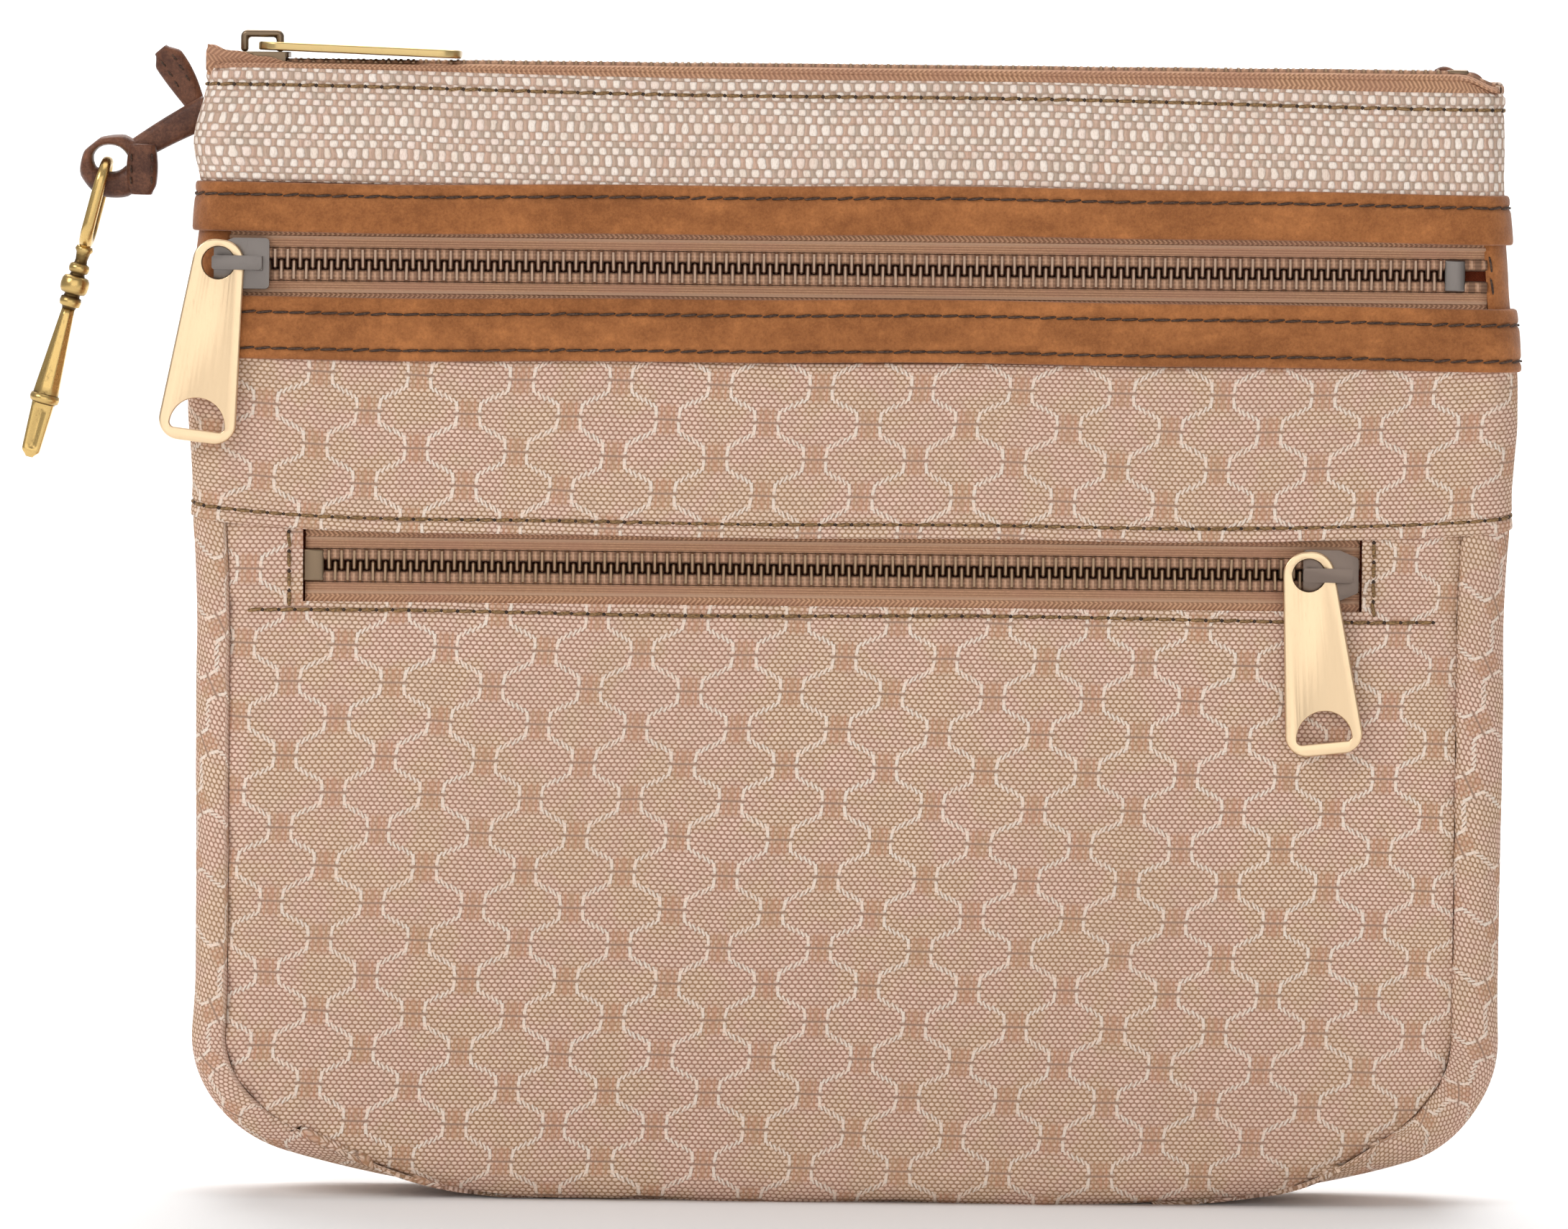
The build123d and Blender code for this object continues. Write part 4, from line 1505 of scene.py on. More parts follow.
    def build_lower_panels(self) -> None:
        """Lower front panel with its zip window, and the plain one on the back."""
        grid = self.panel_grid(1.6)
        points = self.lower_face(grid)
        centre = (grid[1:, 1:] + grid[:-1, :-1]) / 2
        left, right = self.lower_window_x
        inside = (centre[..., 0] > left) & (centre[..., 0] < right)
        keep = ~(inside & (centre[..., 1] > self.lower_window_z))
        piece = make_surface("lower_jacquard_panel", points, grid, keep)
        thicken(piece, self.cloth, 0.32)
        self.shop.hand_over(piece, Finish.JACQUARD, "pouch", "jacquard", ["front_lower_panel"])
        back = make_surface("lower_back_panel", points * np.array([1, -1, 1]), grid + [37.0, 5.0], flip=True)
        thicken(back, self.cloth)
        self.shop.hand_over(back, Finish.JACQUARD, "pouch", "jacquard", ["back_panel"])
        x = np.linspace(-116.5, 111.5, 260)
        row = np.stack([x, 113.2 + 0.25 * np.sin(x / 19.0)], -1)
        self.sew_flat("window_stitching", row[:, None])
        for side, place in (("left", left - 2.6), ("right", right + 2.2)):
            z = np.linspace(113.6, 128.6, 30)
            self.sew_flat(f"window_{side}_stitching", np.stack([np.full_like(z, place), z], -1)[:, None])

    def sew_flat(self, name: str, line: Array) -> None:
        """Stitches along a line on the lower panel."""
        points = self.lower_face(line)[:, 0]
        normal = np.tile([0.0, -1.0, 0.0], (len(points), 1))
        CLOTH_STITCH.run(name, points + normal * 0.1, normal, self.shop, Finish.OLIVE_THREAD,
                         "pouch", "jacquard")

    def build_strip(self) -> None:
        """Strip up both sides and round the bottom, front seam to back seam.

        Each station on the outline has a cross-section numbered by w: from the seam to
        the rounded edge (0 to 1), a quarter turn (1 to 2) and inwards to the middle of
        the strip (2 to 3); the back half is the same turned over.
        """
        form = self.form
        outline, inward, _ = form.seam(SEAM_STEP)
        inset = form.seam_inset(outline)
        share = np.concatenate([np.linspace(0, 1, 6)[:-1], np.linspace(1, 2, 9), np.linspace(2, 3, 9)[1:]])
        w = share[None, :]
        edge_inset = np.minimum(inset, form.edge)[:, None]
        flat = np.clip(w, 0, 1)
        near = inset[:, None] * (1 - flat) + edge_inset * flat
        start = np.arcsin(np.clip((form.edge - edge_inset) / form.edge, 0, 1))
        angle = start + (math.pi / 2 - start) * np.clip(w - 1, 0, 1)
        on_arc = form.edge * (1 - np.sin(angle))
        distance = np.where(w <= 1, near, on_arc)
        spot = outline[:, None] + inward[:, None] * distance[..., None]
        depth = form.half_depth(np.maximum(spot[..., 1], 0))
        y = np.where(w <= 1, depth - form.round_over(near), depth - form.edge + form.edge * np.cos(angle))
        y = np.where(w >= 2, (depth - form.edge) * (3 - w), y)
        to_seam = np.minimum(np.abs(w) * np.maximum(inset[:, None], 5.0), 12)
        station = np.arange(len(outline))[:, None] * SEAM_STEP
        pucker = 0.45 * soft_noise(station + 0 * w, 0 * station + w, 5.5, 53) * np.exp(-to_seam / 8)
        corner = ease(95, 118, np.abs(outline[:, :1])) * ease(60, 18, outline[:, 1:])
        pucker = pucker * (1 + 1.2 * corner) - 0.9 * np.exp(-((to_seam / 1.5) ** 2))
        low_guard = ease(0.0, 14.0, spot[..., 1])
        y = y + pucker * np.where(w < 2, 1, 0.0) * low_guard
        front = np.stack([spot[..., 0], -y, spot[..., 1]], -1)
        back = front[:, -2::-1] * np.array([1, -1, 1])
        points = np.concatenate([front, back], 1)
        across = lengths(points[len(points) // 4])
        uv = np.stack(np.broadcast_arrays(station, across[None, :]), -1)
        piece = make_surface("jacquard_strip", form.give(points), uv)
        weld(piece)
        thicken(piece, self.cloth)
        self.shop.hand_over(piece, Finish.GUSSET, "pouch", "jacquard", ["side_strip"])

    def build_side_strips(self) -> None:
        """Upper ends of the strip, hollowed a little between the front and the back."""
        form = self.form
        for side, name in ((-1, "left_side_strip"), (1, "right_side_strip")):
            z = np.linspace(form.fold_z - 1.5, form.height - 1.0, 60)
            across = np.linspace(-1, 1, 9)
            grid_z, grid_a = np.meshgrid(z, across)
            y = grid_a * (form.half_depth(grid_z) - form.edge + 0.6)
            hollow = 0.9 + 1.6 * (1 - grid_a**2) * ease(150, 205, grid_z)
            points = np.stack([side * (form.half_width - hollow), y, grid_z], -1)
            strip = make_surface(name, form.give(points), np.stack([grid_z, y], -1), flip=side > 0)
            thicken(strip, self.cloth)
            self.shop.hand_over(strip, Finish.GUSSET, "pouch", "jacquard")

    def build_skirts(self) -> None:
        """Zip tape's sewn margin, sloping down from the zip halves into the bands."""
        x = np.linspace(-124.0, 124.6, 160)
        t = np.linspace(0, 1, 12)
        grid_x, grid_t = np.meshgrid(x, t)
        for back, name in ((False, "front_zip_skirt"), (True, "back_zip_skirt")):
            foot = (216.6 if back else self.top_edge(grid_x)) - 2.6
            y = -6.9 - 0.95 * grid_t**0.7 + self.form.round_over(self.form.half_width - np.abs(grid_x))
            crest = TOP_CHAIN_Z + 0.15 - TOP_FALL * ease(*TOP_FALL_X, grid_x)
            z = crest + (foot - crest) * grid_t**1.25 + 0.06 * np.sin(grid_x / 3.1) * grid_t
            points = np.stack([grid_x, y, z], -1) * np.array([1, -1 if back else 1, 1])
            uv = np.stack([grid_x, 6.2 + 3.6 * grid_t], -1)
            skirt = make_surface(name, self.form.give(points), uv, flip=not back)
            thicken(skirt, 0.4)
            self.shop.hand_over(skirt, Finish.TAPE, "pouch", "zip_tape")

    def build_pocket(self, name: str, x_span: tuple[float, float], z_span: tuple[float, float]) -> None:
        """Pocket bag behind a front zip, open towards the wall.

        The bag's depth rises from its mouth to its back within a few millimetres of each
        side, as 1 - d^16 for a distance d from its middle, and its back is a little creased.

        Args:
            name: Which pocket.
            x_span: Left and right ends.
            z_span: Lower and upper ends.
        """
        s, t = np.linspace(-1, 1, 150), np.linspace(-1, 1, 90)
        s, t = np.sign(s) * np.abs(s) ** 0.7, np.sign(t) * np.abs(t) ** 0.7
        grid_s, grid_t = np.meshgrid(s, t)
        x = sum(x_span) / 2 + grid_s * (x_span[1] - x_span[0]) / 2
        z = sum(z_span) / 2 + grid_t * (z_span[1] - z_span[0]) / 2
        bag = (1 - grid_t**16) * (1 - 0.6 * grid_s**16)
        crease = 0.35 * soft_noise(x, z, 17, 71) + 0.15 * soft_noise(x, z, 6, 73)
        depth = 2.5 + (5.2 + crease) * bag
        points = np.stack([x, depth - self.form.half_depth(z), z], -1)
        piece = make_surface(f"{name}_pocket_lining", points, np.stack([x, z], -1))
        thicken(piece, 0.4)
        nodes = [f"{name}_pocket_bag", f"{name}_pocket_rim"]
        self.shop.hand_over(piece, Finish.LINING, "pouch", "pocket_lining", nodes)

    def build_main_lining(self) -> None:
        """Lining of the main compartment: down the front, across the floor, up the back.

        Front and back draw together at the sides, by sqrt(1 - s^12) for a share s of
        the half width.
        """
        form = self.form
        front_z = np.concatenate([np.linspace(214.2, 192.5, 14), np.linspace(191.5, 8.0, 90)])
        back_z = np.linspace(8.0, 214.2, 104)
        floor = np.linspace(0, 1, 14)[1:-1]
        near, deep, base = 2.3, 8.9, 7.2
        front_y = np.where(front_z > 192, near, deep) - form.half_depth(front_z)
        back_y = form.half_depth(back_z) - near
        z = np.concatenate([front_z, base - 0.6 * np.sin(math.pi * floor), back_z])
        y = np.concatenate([front_y, front_y[-1] + (back_y[0] - front_y[-1]) * floor, back_y])
        outline, _ = form.outline(form.height, 1.6)
        half = outline[: len(outline) // 2 + 1]
        limit = np.minimum(np.interp(z, half[::-1, 1], half[::-1, 0]) - 7.0, 117.5)
        s = np.linspace(-1, 1, 150)
        s = np.sign(s) * np.abs(s) ** 0.75
        middle = -3.3
        x = s[None, :] * limit[:, None]
        draw = np.sqrt(1 - 0.96 * s**12)[None, :]
        along = np.append(0, np.cumsum(np.hypot(np.diff(y), np.diff(z))))[:, None] + 0 * x
        crease = (0.4 * soft_noise(x, along, 24, 77) + 0.15 * soft_noise(x, along, 8, 79)) * draw
        grid_y = middle + (y[:, None] - middle) * draw
        inward = np.sign(middle - grid_y) * np.minimum(np.abs(grid_y - middle) / 3, 1)
        points = np.stack([x, grid_y + (0.4 + crease) * inward, z[:, None] + 0 * x], -1)
        piece = make_surface("main_compartment_lining", points, np.stack([x, along], -1), flip=True)
        thicken(piece, 0.4)
        self.shop.hand_over(piece, Finish.LINING, "pouch", "pocket_lining", ["main_lining"])

    def build_linings(self) -> None:
        """Lines both front pockets and the main compartment."""
        self.build_pocket("upper", (-122.2, 122.2), (134.9, 189.6))
        self.build_pocket("lower", (-108.6, 100.6), (26.4, 133.0))
        self.build_main_lining()

    def build(self) -> None:
        """Builds every wall."""
        self.build_bands()
        self.build_leather()
        self.build_leather_ends()
        self.build_upper_panels()
        self.build_lower_panels()
        self.build_strip()
        self.build_side_strips()
        self.build_skirts()
        self.build_linings()


# ---------------------------------------------------------------- zips


@dataclass
class Zip:
    """One zip: two tapes and two rows of teeth; its end stop is polished with the other fittings."""

    shop: Shop
    chain: Chain
    name: str
    ends: tuple[float, float]
    rows: tuple[float, float]
    margin: float
    teeth: Finish
    bodies: tuple[str, str]
    nodes: tuple[tuple[str, str], tuple[str, str]]
    pitch: float = TOOTH_PITCH
    slope: float = 0.0
    fall: float = 0.0

    def tooth(self) -> tuple[Array, Array]:
        """One tooth, from its clamped root to its head past the middle."""
        stations = [
            (3.15, 0.36, 0.75), (2.85, 0.52, 1.15), (1.4, 0.54, 1.25), (0.75, 0.50, 1.2),
            (0.0, 0.48, 1.1), (-0.55, 0.50, 1.0), (-0.85, 0.26, 0.7),
        ]
        points, quads = pod(stations, 8, 3.2, math.pi / 8)
        return points, quads[:, ::-1]

    def build(self) -> None:
        """Builds the tapes, cords and teeth."""
        start, end = self.rows
        for index, side in enumerate((-1.0, 1.0)):
            body = self.bodies[index]
            tape_node, teeth_node = self.nodes[index]
            shift = self.pitch / 2 if side < 0 else 0.0
            x = np.arange(start + 0.75 + shift, end - 0.5, self.pitch)
            luck = np.random.default_rng(len(self.name) + index)
            places = self.chain.at(x, np.zeros_like(x), luck.normal(0, 0.03, len(x)))
            axes = np.broadcast_to(self.chain.axes(side), (len(x), 3, 3)).copy()
            axes[:, 0] += luck.normal(0, 0.012, (len(x), 1)) * np.array([1.0, 0.0, 0.0])
            teeth = scatter(f"{teeth_node}_metal", self.tooth(), places, axes)
            weld(teeth, 0.0005)
            teeth.data.polygons.foreach_set("use_smooth", np.zeros(len(teeth.data.polygons), bool))
            self.shop.hand_over(teeth, self.teeth, body, "antique_teeth", [teeth_node])
            self.build_tape(side, body, tape_node, start + 0.75 + shift)

    def build_tape(self, side: float, body: str, node: str, first: float) -> None:
        """One tape with the corded edge that the teeth are clamped on.

        Args:
            side: Which side of the chain.
            body: The body it rides on.
            node: The plain tape it stands for.
            first: Where its first tooth is.
        """
        x = np.linspace(*self.ends, int((self.ends[1] - self.ends[0]) / 1.5))
        u = np.concatenate([np.linspace(1.35, 2.9, 9), np.linspace(3.1, self.margin, 20)])
        girth = np.clip((u - 1.35) / 1.55, 0, 1)
        bead = 0.62 * np.sqrt(np.maximum(1 - (2 * girth - 1) ** 2, 0)) * (u <= 2.9)
        grid_x, grid_u = np.meshgrid(x, u)
        rise = bead[:, None] + 0.18 * bell(5.15, 0.3, grid_u) + 0.08 * soft_noise(grid_x, grid_u, 9.0, 61)
        drop = self.slope * np.maximum(grid_u - 3.0, 0) + self.fall * ease(*TOP_FALL_X, grid_x)
        points = self.chain.at(grid_x, side * grid_u, rise - drop)
        uv = np.stack([grid_x - first, grid_u], -1)
        tape = make_surface(f"{node}_cloth", points, uv, flip=side > 0)
        thicken(tape, 0.45)
        self.shop.hand_over(tape, Finish.TAPE, body, "zip_tape", [node])


@dataclass
class Fittings:
    """Sliders, bridges, pulls and stops, polished copies of their solids."""

    shop: Shop

    def build(self) -> None:
        """Polishes every metal fitting."""
        metals = {"upper": Finish.GUNMETAL, "lower": Finish.BROWN_METAL, "top": Finish.DARK_BRASS}
        for name, body_finish in metals.items():
            slider = f"{name} slider"
            self.shop.polish(f"{name}_slider_body", body_finish, slider, "gunmetal", 0.28)
            soft = 0.55 if name == "top" else 0.3
            self.shop.polish(f"{name}_slider_bridge", body_finish, slider, "gunmetal", soft)
            gold = Finish.OLD_GOLD if name == "top" else Finish.SATIN_GOLD
            self.shop.polish(f"{name}_pull", gold, f"{name} pull", "light_gold", 0.22)
        self.shop.polish("upper_zip_stop", Finish.GUNMETAL, "pouch", "gunmetal", 0.4)
        for name in ("lower_zip_stop", "top_zip_stop"):
            self.shop.polish(name, Finish.DARK_BRASS, "pouch", "antique_teeth", 0.4)


# ---------------------------------------------------------------- charm


@dataclass
class Charm:
    """Leather strap at the side, its stitched end, and the brass key."""

    shop: Shop
    loop: tuple[float, float, float] = (-144.1, 1.5, 200.5)
    seam_end: tuple[float, float] = (-125.0, 208.6)
    tilt: float = math.radians(14.6)
    ring_drop: float = 2.05
    bow_half: float = 4.5
    bow_length: float = 18.3
    wire: float = 1.1
    length: float = 60.0

    def build_strap(self) -> None:
        """Rolled strap from the side seam and its looped end, thick round its hole."""
        turn = np.linspace(-math.pi, math.pi, 61)
        step = math.pi / 4
        facet = 1 + 0.5 * (math.cos(step / 2) / np.cos((turn + step / 2) % step - step / 2) - 0.96)
        around = np.stack([np.cos(turn), 0 * turn, np.sin(turn)], -1)
        outer = np.array([-143.1, self.loop[1], 197.6]) + around * [6.5, 0, 6.1] * facet[:, None]
        inner = np.array([-144.0, self.loop[1], 199.2]) + around * [3.4, 0, 2.6]
        ring, outward = (outer + inner) / 2, unit(outer - inner)
        thick = np.linalg.norm(outer - inner, axis=1) / 2
        section = np.stack([round_section(2.6, t, 2.3, 20) for t in thick])
        uv = np.stack(np.meshgrid(np.arange(20) * 0.8, turn[:-1] * 5.2), -1)
        head = weld(make_ring("charm_loop", ring, outward, section, uv))
        self.shop.hand_over(head, Finish.DARK_LEATHER, "pouch", "dark_leather", ["charm_strap"])
        start = np.array([-140.0, self.loop[1], 200.2])
        finish = np.array([self.seam_end[0], self.loop[1] + 0.6, self.seam_end[1]])
        t = np.linspace(0, 1, 24)[:, None]
        path = start * (1 - t) + finish * t + np.array([0, 0, 1.0]) * np.sin(math.pi * t) * 0.3
        normal = np.tile([0.0, -1.0, 0.0], (len(path), 1))
        width = 2.2 + 0.9 * t[:, 0]
        sections = np.stack([round_section(w, 1.7, 2.6, 20) for w in width])
        strap = make_tube("charm_strap_leather", path, normal, sections)
        self.shop.hand_over(strap, Finish.DARK_LEATHER, "pouch", "dark_leather")

    def build_end(self) -> None:
        """Stitched end of the strap, folded over beside the loop."""
        t = np.linspace(0, 1, 20)[:, None]
        start, finish = np.array([-137.7, -0.4, 202.0]), np.array([-137.9, 0.3, 192.4])
        path = start * (1 - t) + finish * t
        normal = np.tile([0.0, -1.0, 0.0], (len(path), 1))
        width = 2.5 + 0.5 * np.sin(math.pi * t[:, 0]) - 0.5 * ease(0.8, 1.0, t[:, 0])
        sections = np.stack([round_section(w, 2.0, 4.0, 20) for w in width])
        end = make_tube("charm_strap_folded_end", path, normal, sections)
        self.shop.hand_over(end, Finish.DARK_LEATHER, "pouch", "dark_leather", ["charm_strap_end"])
        for index, side in enumerate((-2.1, 2.1)):
            line = path[3:-3] + np.array([side * 0.95, -2.02, 0.0])
            Stitcher(pitch=1.9, length=1.5, radius=0.2).run(
                f"charm_end_stitching_{index + 1}", line, normal[3:-3], self.shop,
                Finish.DARK_THREAD, "pouch", "dark_leather")

    def key_point(self, distance: Array, across: Array, face: Array) -> Array:
        """Points on the key from distances down it, across it and out of its face."""
        down = np.array([-math.sin(self.tilt), 0.0, -math.cos(self.tilt)])
        side = np.array([0.0, 1.0, 0.0])
        out = np.cross(side, -down)
        origin = np.array(self.loop) + down * self.ring_drop
        distance, across, face = np.broadcast_arrays(distance, across, face)
        return origin + distance[..., None] * down + across[..., None] * side + face[..., None] * out

    def build_bow(self) -> None:
        """Bow of the key: a long ring, thicker at its foot, with a flat outer face."""
        t = np.linspace(0, 2 * math.pi, 97)[:-1]
        radius = self.bow_half
        legs = self.bow_length - 2 * (radius + self.wire)
        along = radius - radius * np.cos(t) + legs * ease(-0.25, 0.25, -np.cos(t))
        across = radius * np.sin(t)
        long_half = radius + legs / 2
        centre = self.key_point(along, across, 0 * t)
        outward = unit(centre - self.key_point(np.array(long_half), np.array(0.0), np.array(0.0)))
        foot = 0.5 - 0.5 * np.cos(t)
        sections = np.stack([round_section(1.05 + 0.25 * f, 1.0 + 0.2 * f, 2.4, 14) for f in foot])
        path, out, section = (np.concatenate([a, a[:1]]) for a in (centre, outward, sections))
        bow = make_ring("key_bow_brass", path, out, section)
        around_ring = np.linspace(0, 2 * math.pi, sections.shape[1], endpoint=False)
        inside = ease(-0.2, -0.9, np.sin(around_ring))[None] * (0.35 + 0.6 * foot[:, None])
        mark_recess(bow, inside)
        weld(bow)
        self.shop.hand_over(bow, Finish.ANTIQUE_BRASS, "key", "antique_brass", ["key_bow"])

    def turned(
        self, name: str, stops: Sequence[tuple[float, float]], facets: tuple[float, float], node: str
    ) -> None:
        """Turned part of the key, faceted over part of its length.

        The radius is drawn in towards the flats of an eight-sided bar where it is faceted.

        Args:
            name: Name of the piece.
            stops: Distance down the key and radius of each ring.
            facets: Distances between which it is faceted.
            node: The plain solid it stands for.
        """
        rim = np.array(stops)
        turn = np.linspace(0, 2 * math.pi, 48, endpoint=False)
        step = math.pi / 4
        flats = math.cos(step / 2) / np.cos((turn + step / 2) % step - step / 2)
        share = ease(facets[0] - 0.6, facets[0], rim[:, 0]) * ease(facets[1] + 0.6, facets[1], rim[:, 0])
        radius = rim[:, 1:] * (1 + share[:, None] * (flats[None] * 1.04 - 1))
        grid = self.key_point(
            rim[:, :1], radius * np.cos(turn)[None], radius * np.sin(turn)[None]
        )
        near = np.abs(rim[:, :1] - rim[None, :, 0]) < 1.6
        crest = np.where(near, rim[None, :, 1], 0).max(1)
        hollow = np.clip((crest - rim[:, 1]) / 0.75, 0, 1) * (1 - share)
        hollow = np.repeat(hollow[:, None], len(turn), axis=1)
        piece = make_surface(name, close_ends(grid), closed=True)
        mark_recess(piece, np.concatenate([hollow[:1], hollow, hollow[-1:]]))
        weld(piece)
        self.shop.hand_over(piece, Finish.ANTIQUE_BRASS, "key", "antique_brass", [node])

    def build_shaft(self) -> None:
        """Neck, beads and tapered shaft."""
        beads = [
            (16.9, 1.5), (17.6, 1.75), (18.2, 1.35), (19.6, 1.15), (20.3, 1.25), (20.6, 1.85),
            (21.3, 2.0), (22.0, 1.85), (22.3, 1.35), (22.8, 1.5), (23.0, 2.3), (23.6, 2.65),
            (24.6, 2.75), (25.6, 2.65), (26.2, 2.3), (26.4, 1.5), (26.9, 1.55), (27.1, 1.95),
            (27.9, 2.1), (28.7, 1.95), (28.9, 1.4), (29.3, 1.3),
        ]
        self.turned("key_beads_brass", beads, (200, 201), "key_beads")
        t = np.linspace(29.3, 46.2, 14)
        shaft = [(d, 1.25 + (d - 29.3) / 16.9 * 1.25) for d in t]
        shaft += [(46.4, 2.45), (46.5, 2.75), (47.2, 2.9), (47.9, 2.75), (48.1, 2.3), (48.3, 2.2)]
        self.turned("key_shaft_brass", shaft, (30.0, 45.8), "key_shaft")

    def build_blade(self) -> None:
        """Flat blade at the key's end: a grooved bar with a rounded tip."""
        t = np.linspace(0, 1, 30)
        distance = 48.0 + t * (self.length - self.wire - 48.0)
        path = self.key_point(distance, 0 * t, 0 * t)
        side = np.tile([0.0, 1.0, 0.0], (len(t), 1))
        narrow = 1 - 0.22 * t - 0.45 * ease(0.88, 1.0, t)
        turn = np.linspace(0, 2 * math.pi, 40, endpoint=False)
        box = round_section(1.0, 1.0, 5.0, 40)
        run = ease(0.08, 0.14, t) * ease(0.86, 0.80, t)
        groove = 0.34 * bell(0, 0.42, np.cos(turn))[None] * run[:, None]
        wide = 2.15 * narrow[:, None] * box[None, :, 0]
        deep = (1.6 * narrow[:, None] * (1 - groove)) * box[None, :, 1]
        sections = np.stack([wide, deep], -1)
        blade = make_tube("key_blade_brass", path, side, sections)
        self.shop.hand_over(blade, Finish.ANTIQUE_BRASS, "key", "antique_brass", ["key_blade"])

    def build(self) -> None:
        """Builds the strap and the key."""
        self.build_strap()
        self.build_end()
        self.build_bow()
        self.build_shaft()
        self.build_blade()


@dataclass
class EndTabs:
    """Leather tabs and the folded tape end at the top zip's ends."""

    shop: Shop

    def build_left(self) -> None:
        """Tapered stitched tab that stands up behind the left end."""
        t = np.linspace(0, 1, 26)
        path = np.stack([-127.6 - 6.2 * t - 1.0 * t**2, 5.6 + 0 * t, 208.8 + 12.3 * t - 0.9 * t**3], -1)
        normal = np.tile([0.0, -1.0, 0.0], (len(t), 1))
        width = 1.7 + 1.3 * np.sin(np.clip(t * 2.2, 0, 1.9)) - 1.5 * ease(0.80, 1.0, t)
        sections = np.stack([round_section(w, 1.35, 3.0, 20) for w in width])
        tab = make_tube("left_tab_leather", path, normal, sections)
        self.shop.hand_over(tab, Finish.DARK_LEATHER, "pouch", "dark_leather", ["left_leather_tab"])
        for index, side in enumerate((-1.25, 1.25)):
            line = path[9:-3] + np.array([side * 0.85, -1.36, side * 0.5])
            Stitcher(pitch=1.9, length=1.5, radius=0.18).run(
                f"left_tab_stitching_{index + 1}", line, normal[9:-3], self.shop,
                Finish.DARK_THREAD, "pouch", "dark_leather")

    def build_right(self) -> None:
        """Small dark tab behind the right end."""
        t = np.linspace(0, 1, 20)
        path = np.stack([111.6 + 8.6 * t, 9.6 + 0 * t, 218.3 - 1.6 * t**2 + 0.5 * np.sin(9 * t)], -1)
        normal = np.tile([0.0, 0.0, 1.0], (len(t), 1))
        height = 0.8 * (0.5 + 0.5 * np.sin(math.pi * t)) + 0.2
        sections = np.stack([round_section(1.15, h, 3.0, 16) for h in height])
        tab = make_tube("right_tab_leather", path, normal, sections)
        self.shop.hand_over(tab, Finish.DARK_LEATHER, "pouch", "dark_leather", ["right_leather_tab"])

    def build_fold(self) -> None:
        """Tape end folded up at the left, sloping down to the slider, with a flap in front."""
        t = np.linspace(0, 1, 22)
        x = -125.3 + 5.0 * t
        top = 221.6 - 2.6 * t**1.4 - 1.4 * np.exp(-t * 14)
        turn = np.linspace(0, 2 * math.pi, 36, endpoint=False)
        box = round_section(1.0, 1.0, 6.0, 36)
        low = 216.2
        points = np.stack(np.broadcast_arrays(
            x[:, None], box[None, :, 0] * 5.3,
            (top + low)[:, None] / 2 + box[None, :, 1] * (top - low)[:, None] / 2,
        ), -1)
        uv = np.stack(np.broadcast_arrays(x[:, None], 5.7 + np.abs(turn - math.pi) * 1.6), -1)
        fold = make_surface("zip_end_fold", close_ends(points), np.concatenate([uv[:1], uv, uv[-1:]]),
                            closed=True)
        weld(fold)
        self.shop.hand_over(fold, Finish.TAPE, "pouch", "zip_tape", ["top_zip_folded_end"])
        x = np.linspace(-125.0, -108.5, 34)
        share = (x + 125.0) / 16.5
        crest = 221.2 - 3.2 * share**0.9 + 0.15 * np.sin(x * 1.1)
        v = np.linspace(0, 1, 9)
        grid_x, grid_v = np.meshgrid(x, v)
        z = 215.4 + (crest[None] - 215.4) * grid_v
        y = -5.75 + 0.25 * grid_v + 0.08 * np.sin(grid_x * 0.9)
        uv = np.stack([grid_x, 5.7 + grid_v * 5.0], -1)
        flap = make_surface("zip_end_flap", np.stack([grid_x, y, z], -1), uv)
        thicken(flap, 0.5, 0.12)
        self.shop.hand_over(flap, Finish.TAPE, "pouch", "zip_tape")

    def build(self) -> None:
        """Builds the tabs and the fold."""
        self.build_left()
        self.build_right()
        self.build_fold()


# ---------------------------------------------------------------- studio


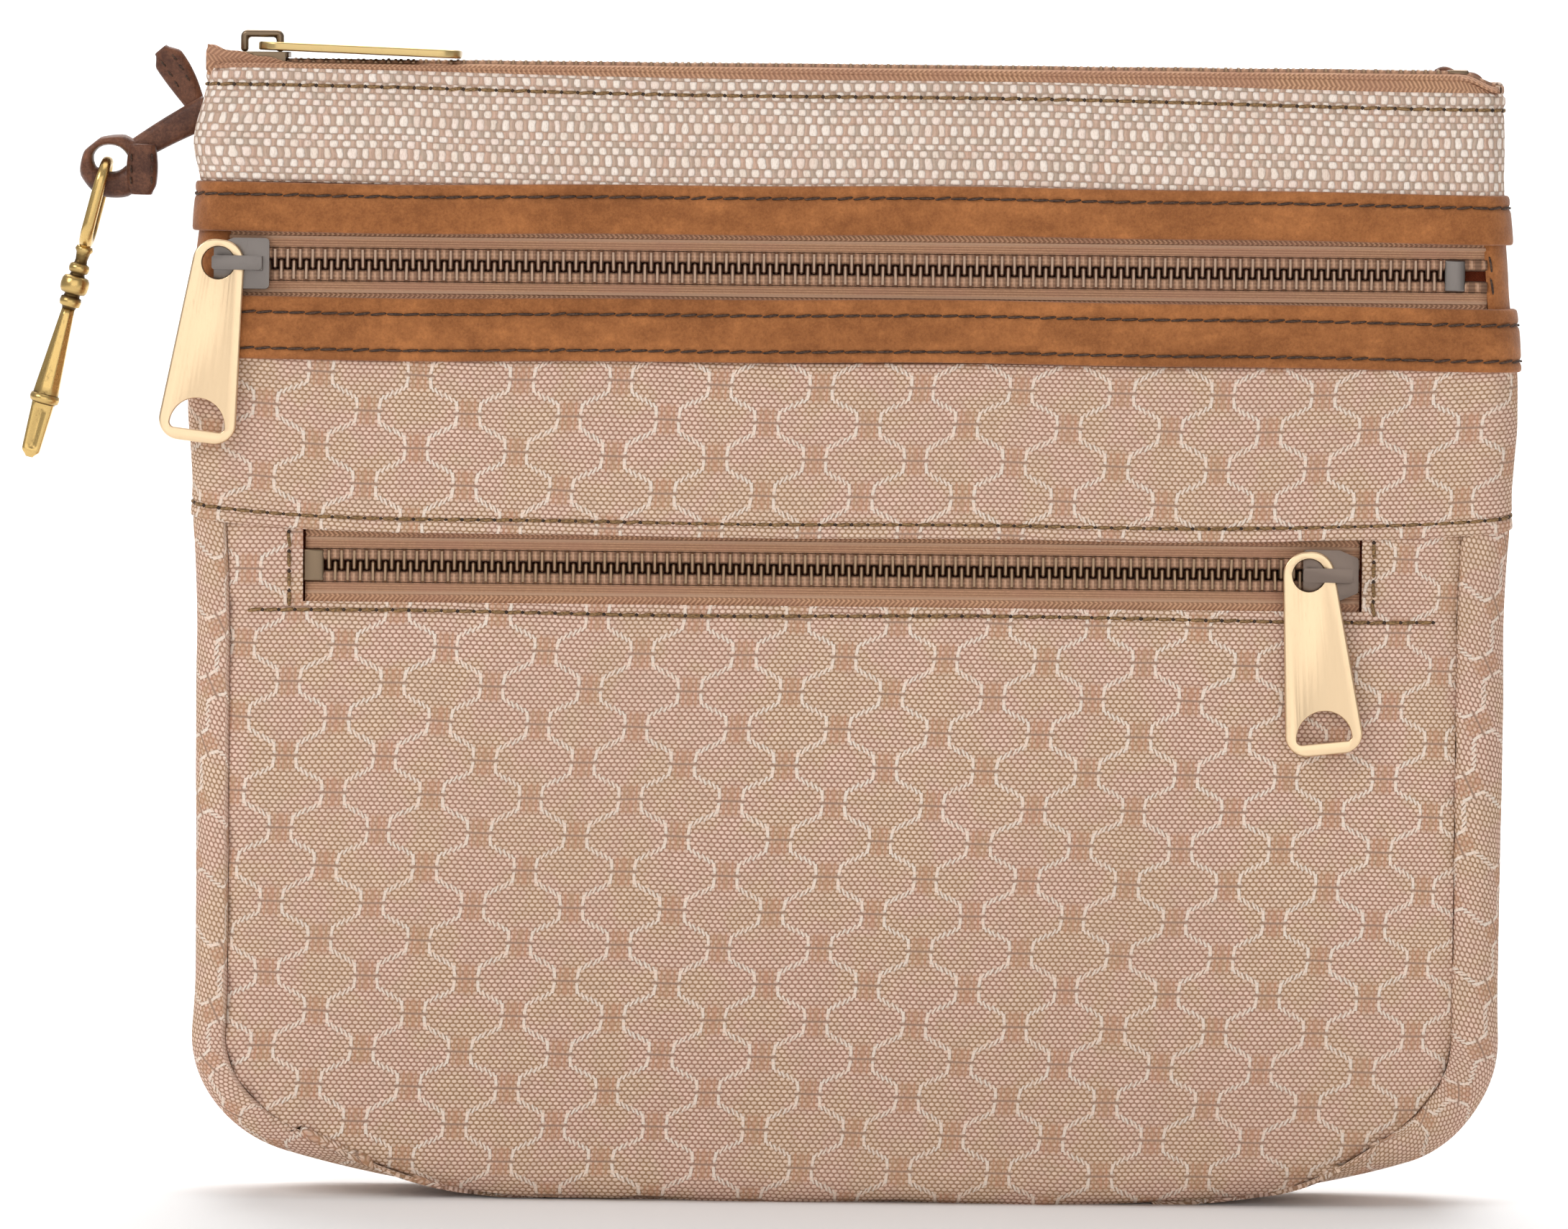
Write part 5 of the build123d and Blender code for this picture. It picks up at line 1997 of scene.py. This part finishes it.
@dataclass
class Studio:
    """Floor, lights and camera."""

    wardrobe: Wardrobe
    distance: float = 1.6
    elevation: float = math.radians(3.5)
    roll: float = math.radians(-0.6)
    span: float = 0.30278
    target: tuple[float, float, float] = (-0.0134, 0.0, 0.1126)

    def build_camera(self) -> None:
        """Long lens, almost level, with a slight roll."""
        data = bpy.data.cameras.new("camera")
        data.sensor_width = 36.0
        data.lens = 36.0 * self.distance / self.span
        camera = place_in_scene(bpy.data.objects.new("camera", data))
        x, y, z = self.target
        camera.location = (
            x, y - self.distance * math.cos(self.elevation), z + self.distance * math.sin(self.elevation),
        )
        camera.rotation_mode = "XYZ"
        look = Euler((math.pi / 2 - self.elevation, 0.0, 0.0)).to_matrix()
        camera.rotation_euler = (look @ Matrix.Rotation(-self.roll, 3, "Z")).to_euler()
        bpy.context.scene.camera = camera

    def build_floor(self) -> None:
        """Pale sheet: flat floor that curves up behind into a wall."""
        turn = np.linspace(0, math.pi / 2, 16)
        run = np.concatenate([[-5000.0], 3300 + 1000 * np.sin(turn), [4300.0]])
        rise = np.concatenate([[0.0], 1000 - 1000 * np.cos(turn), [5000.0]])
        x = np.linspace(-5000, 5000, 8)
        grid_x, grid_y = np.meshgrid(x, run)
        grid_z = np.broadcast_to(rise[:, None], grid_x.shape)
        floor = make_surface("floor", np.stack([grid_x, grid_y, grid_z], -1))
        self.wardrobe.dress(floor, Finish.FLOOR)

    def light(
        self, name: str, place: Sequence[float], aim: Sequence[float], size: float, power: float
    ) -> None:
        """One soft area light.

        Args:
            name: Its name.
            place: Where it stands, in metres.
            aim: What it points at.
            size: Side of the light.
            power: Watts.
        """
        data = bpy.data.lights.new(name, "AREA")
        data.size = size
        data.energy = power
        lamp = place_in_scene(bpy.data.objects.new(name, data))
        lamp.location = place
        lamp.rotation_euler = (Vector(aim) - Vector(place)).to_track_quat("-Z", "Y").to_euler()

    def build(self) -> None:
        """Builds the studio."""
        self.build_camera()
        self.build_floor()
        middle = (0.0, 0.0, 0.11)
        self.light("front_light", (0.0, -2.5, 0.35), middle, 2.6, 24.0)
        self.light("key_light", (-1.3, -1.0, 1.3), middle, 0.8, 12.0)
        self.light("top_light", (0.2, 0.1, 1.6), middle, 1.2, 6.0)
        self.light("backdrop_light", (0.0, 1.7, 2.3), (0.0, 2.6, 0.0), 2.4, 95.0)
        world = bpy.data.worlds.new("studio")
        world.use_nodes = True
        world.node_tree.nodes["Background"].inputs[0].default_value = (1.0, 1.0, 1.0, 1.0)
        world.node_tree.nodes["Background"].inputs[1].default_value = 0.40
        scene = bpy.context.scene
        scene.world = world
        scene.view_settings.view_transform = "Standard"


# ---------------------------------------------------------------- whole


def build_zips(shop: Shop, form: PouchForm) -> None:
    """Builds the three zips.

    Args:
        shop: Where the pieces go.
        form: The pouch's form.
    """

    def span(node: str) -> tuple[float, float]:
        """Lowest and highest x of a node in millimetres."""
        low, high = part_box(node)
        return low[0] / MM, high[0] / MM

    pocket_zips = (
        ("upper", UPPER_CHAIN_Z, 9.2, Finish.ROSY_TEETH),
        ("lower", LOWER_CHAIN_Z, 9.9, Finish.BROWN_TEETH),
    )
    for name, z, margin, teeth in pocket_zips:
        nodes = tuple((f"{name}_zip_{side}_tape", f"{name}_zip_{side}_teeth") for side in ("low", "high"))
        Zip(
            shop, wall_chain(form, z, 1.65), name, span(nodes[0][0]), span(nodes[0][1]), margin,
            teeth, ("pouch", "pouch"), nodes,
        ).build()
    nodes = tuple((f"top_zip_{side}_tape", f"top_zip_{side}_teeth") for side in ("front", "back"))
    Zip(
        shop, Chain((0.0, 0.0, TOP_CHAIN_Z), (0.0, 1.0, 0.0), (0.0, 0.0, 1.0)), "top",
        span(nodes[0][0]), span(nodes[0][1]), 7.4, Finish.BROWN_TEETH,
        ("front zip half", "back zip half"), nodes, slope=0.2, fall=TOP_FALL,
    ).build()


def main() -> None:
    """Builds the pouch in order."""
    logging.basicConfig(level=logging.INFO)
    wardrobe = Wardrobe()
    shop = Shop(wardrobe)
    form = PouchForm()
    Studio(wardrobe).build()
    PouchWalls(shop, form).build()
    build_zips(shop, form)
    Fittings(shop).build()
    EndTabs(shop).build()
    Charm(shop).build()


if __name__ == "__main__":
    main()
